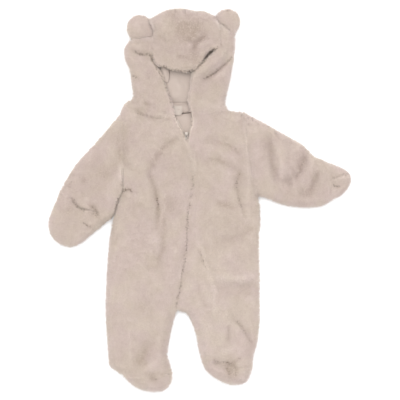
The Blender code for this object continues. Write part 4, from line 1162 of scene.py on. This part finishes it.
@dataclass
class FleeceSuit:
    """All the fleece: fronts, backs, sleeves, mittens, feet, hood and ears."""

    around: Surroundings
    panels: tuple[Panel, ...] = (
        Panel("front_left", (0.17, 0.54), 0.076, 11, rests_on="back_left"),
        Panel("front_right", (0.165, 0.505), 0.070, 21, rests_on="back_right"),
        Panel("back_left", (0.155, 0.54), 0.070, 31),
        Panel("back_right", (0.155, 0.505), 0.067, 41),
        Panel("sleeve_left", (0.26, 0.17), 0.0295, 51, 0.2 * MM),
        Panel("sleeve_right", (0.31, 0.165), 0.041, 61, 0.4 * MM),
        Panel("mitten_left", (0.17, 0.1), 0.0145, 71),
        Panel("mitten_right", (0.15, 0.05), 0.0054, 81),
        Panel("foot_left", (0.17, 0.045), 0.0058, 91, 0.0),
        Panel("foot_right", (0.17, 0.05), 0.0068, 101, -0.5 * MM),
        Panel("hood_crown", (0.135, 0.34), 0.038, 111),
        Panel("hood_side_left", (0.16, 0.16), 0.019, 121),
        Panel("hood_side_right", (0.16, 0.16), 0.018, 131),
        Panel("ear_left", (0.05, 0.05), 0.0024, 141, -1.5 * MM),
        Panel("ear_right", (0.05, 0.05), 0.0024, 151, -1.5 * MM),
    )

    def build(self) -> None:
        """Build every panel with its pile, and say what each is."""
        ground = FleeceGround("teddy_fleece_ground", "d6c9bf", 0.95).make()
        pile = Pile(TeddyPile("teddy_fleece_pile", "d8c8bc", 0.85).make())
        for panel in self.panels:
            cloth = panel.cloth(self.around, ground)
            tufts = pile.grow(cloth, panel.node + "_pile", panel.seed)
            settle(cloth, panel.node)
            settle(tufts)
        pile.put_away()


# ------------------------------------------------------------------ jersey, label and zip
@dataclass
class Lining:
    """A piece of jersey: a finer copy of its solid with soft folds in its upper face."""

    node: str
    flat_size: tuple[float, float]
    area: float
    rests_on: tuple[str, ...]
    longest: float = 3.5 * MM  # its longest edge
    upper_from: float = 0.3  # how far up the face looks that is shaped
    lump: float = 0.35 * MM
    lump_size: float = 9 * MM
    roll: float = 0.0  # how far the lower edge rolls up
    drawn: float = 0.0  # how far the rolled edge is drawn up the garment
    tight: int = 3  # how close to the edge the roll is
    plump: float = 0.0  # how far the middle of the upper face stands up off the solid
    dome: float = 6.0  # how flat-topped that is, 2 is a soft dome
    rounds: int = 2  # of smoothing

    def build(self, finish: Material) -> None:
        """Build the piece and say what it is.

        Args:
            finish: the jersey.
        """
        builder = solid_copy(self.node)
        refine(builder, self.longest)
        builder.normal_update()
        upper = [v for v in builder.verts if v.normal.z > self.upper_from]
        change = sum(one.drop(flat(upper)) for one in LINING_CREASES)
        heights = [v.co.y for v in builder.verts]
        low, high = min(heights), max(heights)
        for vertex, rise in zip(upper, change):
            down = (high - vertex.co.y) / (high - low)
            vertex.co.z += rise * MM + self.roll * down ** self.tight
            vertex.co.z += self.plump * (1.0 - abs(2.0 * down - 1.0) ** self.dome)
            vertex.co.y += self.drawn * down ** self.tight
            vertex.co.z += self.lump * noise.noise(vertex.co / self.lump_size)
        for _ in range(self.rounds):
            bmesh.ops.smooth_vert(builder, verts=upper, factor=0.5, use_axis_x=False,
                                  use_axis_y=False, use_axis_z=True)
        piece = from_builder(self.node + "_jersey", builder, finish)
        settle(piece, self.node)


@dataclass
class TurnUp:
    """The little tongue of lining that is turned up along the left edge of the hood, in mm."""

    start: tuple[float, float] = (-70.0, 267.0)
    end: tuple[float, float] = (-64.0, 229.0)
    half_width: float = 9.0
    blunt: float = 0.6  # how round its ends are, 1 is a pointed leaf
    low: float = 14.5
    crown: float = 5.0
    thick: float = 1.0
    faces: tuple[int, int] = (8, 24)

    def place(self, across: float, run: float) -> Vector:
        """Where a point of the tongue lies.

        Args:
            across: the share of its width.
            run: the share of its length.

        Returns:
            The place, in mm.
        """
        start, end = Vector(self.start), Vector(self.end)
        along = (end - start).normalized()
        off = 2 * across - 1
        # half a wave each, cut a little short at both ends
        wide = self.half_width * math.sin(math.pi * (0.06 + 0.9 * run)) ** self.blunt
        spot = start + (end - start) * run + Vector((-along.y, along.x)) * off * wide
        rise = self.crown * (1 - off ** 2) * math.sin(math.pi * (0.1 + 0.85 * run))
        return Vector((*spot, self.low + rise))

    def build(self, finish: Material) -> None:
        """Build the tongue and say what it is.

        Args:
            finish: the jersey.
        """
        builder = curved_sheet(*self.faces, self.place, self.thick)
        piece = from_builder("lining_turn_up", builder, finish)
        settle(piece)


@dataclass
class Label:
    """The blank woven label: a folded strip, sewn down along its top edge, in mm."""

    corners: Points = ((-52, 183), (-33, 184), (-50, 166), (-32, 165))  # two at the top first
    low: float = 10.0
    rise: float = 2.2  # how far the band under it lifts its lower edge
    curl: float = 2.6  # how far the free lower corners lift
    wave: float = 0.3
    waves: float = 1.1  # how many of them lie across it
    rounded: float = 0.7  # share of the half width over which those corners round off
    thick: float = 0.55
    faces: tuple[int, int] = (20, 20)
    soft_rim: float = 0.12
    sharp: float = 50.0  # degrees, an edge sharper than this is a rim
    stitches: int = 12
    first_stitch: tuple[float, float] = (1.0, -1.2)  # from the top left corner
    stitch_run: tuple[float, float] = (17.0, 1.0)  # from the first stitch to the last
    stitch: tuple[float, float, float] = (0.45, 0.22, 0.16)
    stitch_height: float = 0.25

    def place(self, across: float, up: float) -> Vector:
        """Where a point of the label lies.

        Args:
            across: the share of its width.
            up: the share of its height.

        Returns:
            The place, in mm.
        """
        top_left, top_right, foot_left, foot_right = (Vector(corner) for corner in self.corners)
        top = top_left.lerp(top_right, across)
        foot = foot_left.lerp(foot_right, across)
        off = abs(2 * across - 1)
        corner = max(0.0, off - 1 + self.rounded) / self.rounded
        spot = foot.lerp(top, up) + (top - foot) * self.rounded / 2 * corner ** 2 * (1 - up)
        lift = (self.rise + self.curl * off ** 1.5) * (1 - up) ** 2
        wave = self.wave * math.sin(2 * math.pi * self.waves * across) * (1 - up)
        return Vector((*spot, self.low + lift + wave))

    def build(self, finish: Material, thread: Material) -> None:
        """Build the label with its stitches and say what they are.

        Args:
            finish: the woven face.
            thread: the sewing thread.
        """
        builder = curved_sheet(*self.faces, self.place, self.thick)
        rims = [e for e in builder.edges if e.calc_face_angle(0.0) > math.radians(self.sharp)]
        bmesh.ops.bevel(builder, geom=rims, offset=self.soft_rim * MM, offset_type="OFFSET",
                        segments=2, profile=0.5, affect="EDGES", material=-1)
        bmesh.ops.recalc_face_normals(builder, faces=builder.faces)
        piece = from_builder("label_woven", builder, finish)
        settle(piece, "neck_label")
        row = self.sew(thread)

    def sew(self, thread: Material) -> Object:
        """Sew the row of stitches along the top edge.

        Args:
            thread: the sewing thread.

        Returns:
            The row, as one piece.
        """
        builder = bmesh.new()
        start = Vector(self.corners[0]) + Vector(self.first_stitch)
        run = Vector(self.stitch_run)
        turn = Matrix.Rotation(math.atan2(run.y, run.x), 4, "Z")
        size = Matrix.Diagonal((*(Vector(self.stitch) * MM), 1.0))
        for share in np.linspace(0.0, 1.0, self.stitches):
            place = Vector((*(start + run * share), self.low + self.stitch_height)) * MM
            bmesh.ops.create_icosphere(builder, subdivisions=1, radius=1.0,
                                       matrix=Matrix.Translation(place) @ turn @ size)
        row = from_builder("label_stitches", builder, thread)
        settle(row)
        return row


@dataclass
class Zip:
    """The zip: woven tapes, coil teeth along the open V, slider and pull tab, in mm."""

    longest: float = 4.0  # edge of the tapes
    pitch: float = 1.5
    proud: float = 1.5  # from the fleece's edge out to the middle of the teeth
    probe: float = 0.9  # from that edge to where the tape's height is felt
    above: float = 60.0  # the height that it is felt from
    ahead: float = 0.5  # the stretch that gives the edge's direction
    bedded: float = 0.45  # how high the middle of a tooth lies over the tape
    tooth: tuple[float, float, float] = (1.15, 0.55, 0.55)
    closed_below: float = 130.0  # the slider's own stretch has no free teeth
    even: float = 2.0  # degrees, faces that turn less than this are one
    sharp: float = 25.0  # degrees, an edge of the metal that turns more is rounded
    crisp: float = 40.0  # degrees, one that still turns more stays crisp
    rounding: float = 0.26  # of the metal's edges

    def build(self) -> None:
        """Build the tapes, the teeth and the metal."""
        tape = WovenTape("polyester_zip_tape", "d2c6bc", 0.8).make()
        nylon = MouldedNylon("nylon_coil", "d6cbc1", 0.45).make()
        zinc = PlatedZinc("plated_zinc_slider", "938a82", 0.4).make()
        for side, edge, toward in (("left", V_EDGE_LEFT, 1.0), ("right", V_EDGE_RIGHT, -1.0)):
            node = f"zip_tape_{side}"
            builder = solid_copy(node)
            refine(builder, self.longest * MM)
            piece = from_builder(node + "_woven", builder, tape)
            settle(piece, node)
            teeth = from_builder(f"zip_teeth_{side}", self.teeth(node, edge, toward), nylon)
            settle(teeth)
        for node, name, body in (("zip_slider", "slider_cast", GARMENT),
                                 ("zip_pull", "pull_cast", PULL)):
            settle(self.cast(node, name, zinc), node, body)

    def teeth(self, node: str, edge: Points, toward: float) -> BMesh:
        """The coil along one edge of the V.

        Args:
            node: the tape that carries it.
            edge: the fleece's edge beside it.
            toward: 1 where the opening lies to the right, or -1.

        Returns:
            All its teeth.
        """
        tree = solid_tree(node)
        runs = np.arange(0.5 * self.pitch, lengths(edge)[-1], self.pitch)
        spots = follow(edge, runs)
        size = Matrix.Diagonal((*(Vector(self.tooth) * MM), 1.0))
        builder = bmesh.new()
        for spot, heading in zip(spots, follow(edge, runs + self.ahead) - spots):
            if spot[1] < self.closed_below:
                break
            aside = np.array([-heading[1], heading[0]]) / max(np.linalg.norm(heading), 1e-6)
            aside *= math.copysign(1.0, aside[0] * toward)
            over = Vector((*(spot + aside * self.probe), self.above)) * MM
            hit = tree.ray_cast(over, -UP)[0]
            if hit is None:
                continue
            middle = Vector((*((spot + aside * self.proud) * MM), hit.z + self.bedded * MM))
            turn = Matrix.Rotation(math.atan2(aside[1], aside[0]), 4, "Z")
            bmesh.ops.create_uvsphere(builder, u_segments=10, v_segments=6, radius=1.0,
                                      matrix=Matrix.Translation(middle) @ turn @ size)
        return builder

    def cast(self, node: str, name: str, zinc: Material) -> Object:
        """A die-cast part: its solid with rounded edges.

        Args:
            node: the solid.
            name: the piece's name.
            zinc: its finish.

        Returns:
            The piece.
        """
        builder = solid_copy(node)
        bmesh.ops.dissolve_limit(builder, angle_limit=math.radians(self.even),
                                 verts=builder.verts, edges=builder.edges)
        sharp = [e for e in builder.edges if e.calc_face_angle(0.0) > math.radians(self.sharp)]
        bmesh.ops.bevel(builder, geom=sharp, offset=self.rounding * MM, offset_type="OFFSET",
                        segments=3, profile=0.5, affect="EDGES", material=-1, clamp_overlap=True)
        piece = from_builder(name, builder, zinc)
        piece.data.set_sharp_from_angle(angle=math.radians(self.crisp))
        return piece


@dataclass
class Trims:
    """Everything that isn't fleece: linings, neck band, label and zip."""

    linings: tuple[Lining, ...] = (
        Lining("hood_lining", (0.09, 0.125), 0.0088, ("hood_crown",), plump=6 * MM),
        Lining("neck_facing", (0.055, 0.062), 0.0027, ("back_left", "back_right"), plump=5 * MM,
               dome=2.5),
        Lining("neck_band", (0.056, 0.042), 0.00115, ("back_left", "back_right"), roll=3.5 * MM,
               drawn=2.6 * MM),
    )

    def build(self) -> None:
        """Build every trim."""
        jersey = CottonJersey("cotton_jersey", "bcaea5", 0.9).make()
        for lining in self.linings:
            lining.build(jersey)
        TurnUp().build(jersey)
        satin = WovenTape("woven_satin_label", "b9ada3", 0.5, rib_mm=1.4, satin=0.5).make()
        Label().build(satin, MouldedNylon("sewing_thread", "e0d5c9", 0.6).make())
        Zip().build()


# ------------------------------------------------------------------ studio
@dataclass
class Studio:
    """Pale floor, soft overhead light and the camera straight above, in metres."""

    lens_mm: float = 135.0
    sensor_mm: float = 36.0
    look_at: tuple[float, float] = (1.96 * MM, -0.98 * MM)  # the photograph's middle
    cloth_height: float = 20 * MM
    floor_half: float = 6.0
    floor_gap: float = 0.2 * MM  # under the garment
    lamp_at: tuple[float, float, float] = (0.0, 1.5, 5.0)
    lamp_size: float = 4.5
    lamp_watts: float = 160.0
    daylight: float = 1.03

    def build(self) -> None:
        """Set up the floor, the lights and the camera."""
        scene = bpy.context.scene
        scene.view_settings.view_transform = "Standard"
        builder = bmesh.new()
        bmesh.ops.create_grid(builder, x_segments=4, y_segments=4, size=self.floor_half)
        paper = Finish("white_studio_paper", "ffffff", 1.0).start()[0]
        floor = from_builder("floor", builder, paper)
        floor.data.transform(Matrix.Translation(-UP * self.floor_gap))
        light = bpy.data.lights.new("soft_box", "AREA")
        light.size, light.energy = self.lamp_size, self.lamp_watts
        lamp = bpy.data.objects.new("soft_box", light)
        lamp.location = self.lamp_at
        lamp.rotation_euler = (-Vector(self.lamp_at)).to_track_quat("-Z", "Y").to_euler()
        scene.world = bpy.data.worlds.new("studio")
        scene.world.use_nodes = True
        sky = scene.world.node_tree.nodes["Background"].inputs
        sky["Color"].default_value = (1.0, 1.0, 1.0, 1.0)
        sky["Strength"].default_value = self.daylight
        camera = bpy.data.objects.new("camera", bpy.data.cameras.new("camera"))
        camera.data.lens, camera.data.sensor_width = self.lens_mm, self.sensor_mm
        distance = IMAGE_PIXELS * MM_PER_PIXEL * MM / self.sensor_mm * self.lens_mm
        camera.location = (*self.look_at, self.cloth_height + distance)
        for thing in (lamp, camera):
            scene.collection.objects.link(thing)
        scene.camera = camera


def main() -> None:
    """Build the suit, its linings, its zip and the studio."""
    logging.basicConfig(level=logging.INFO, format="%(name)s: %(message)s")
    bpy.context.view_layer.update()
    Studio().build()
    FleeceSuit(Surroundings()).build()
    Trims().build()


if __name__ == "__main__":
    main()
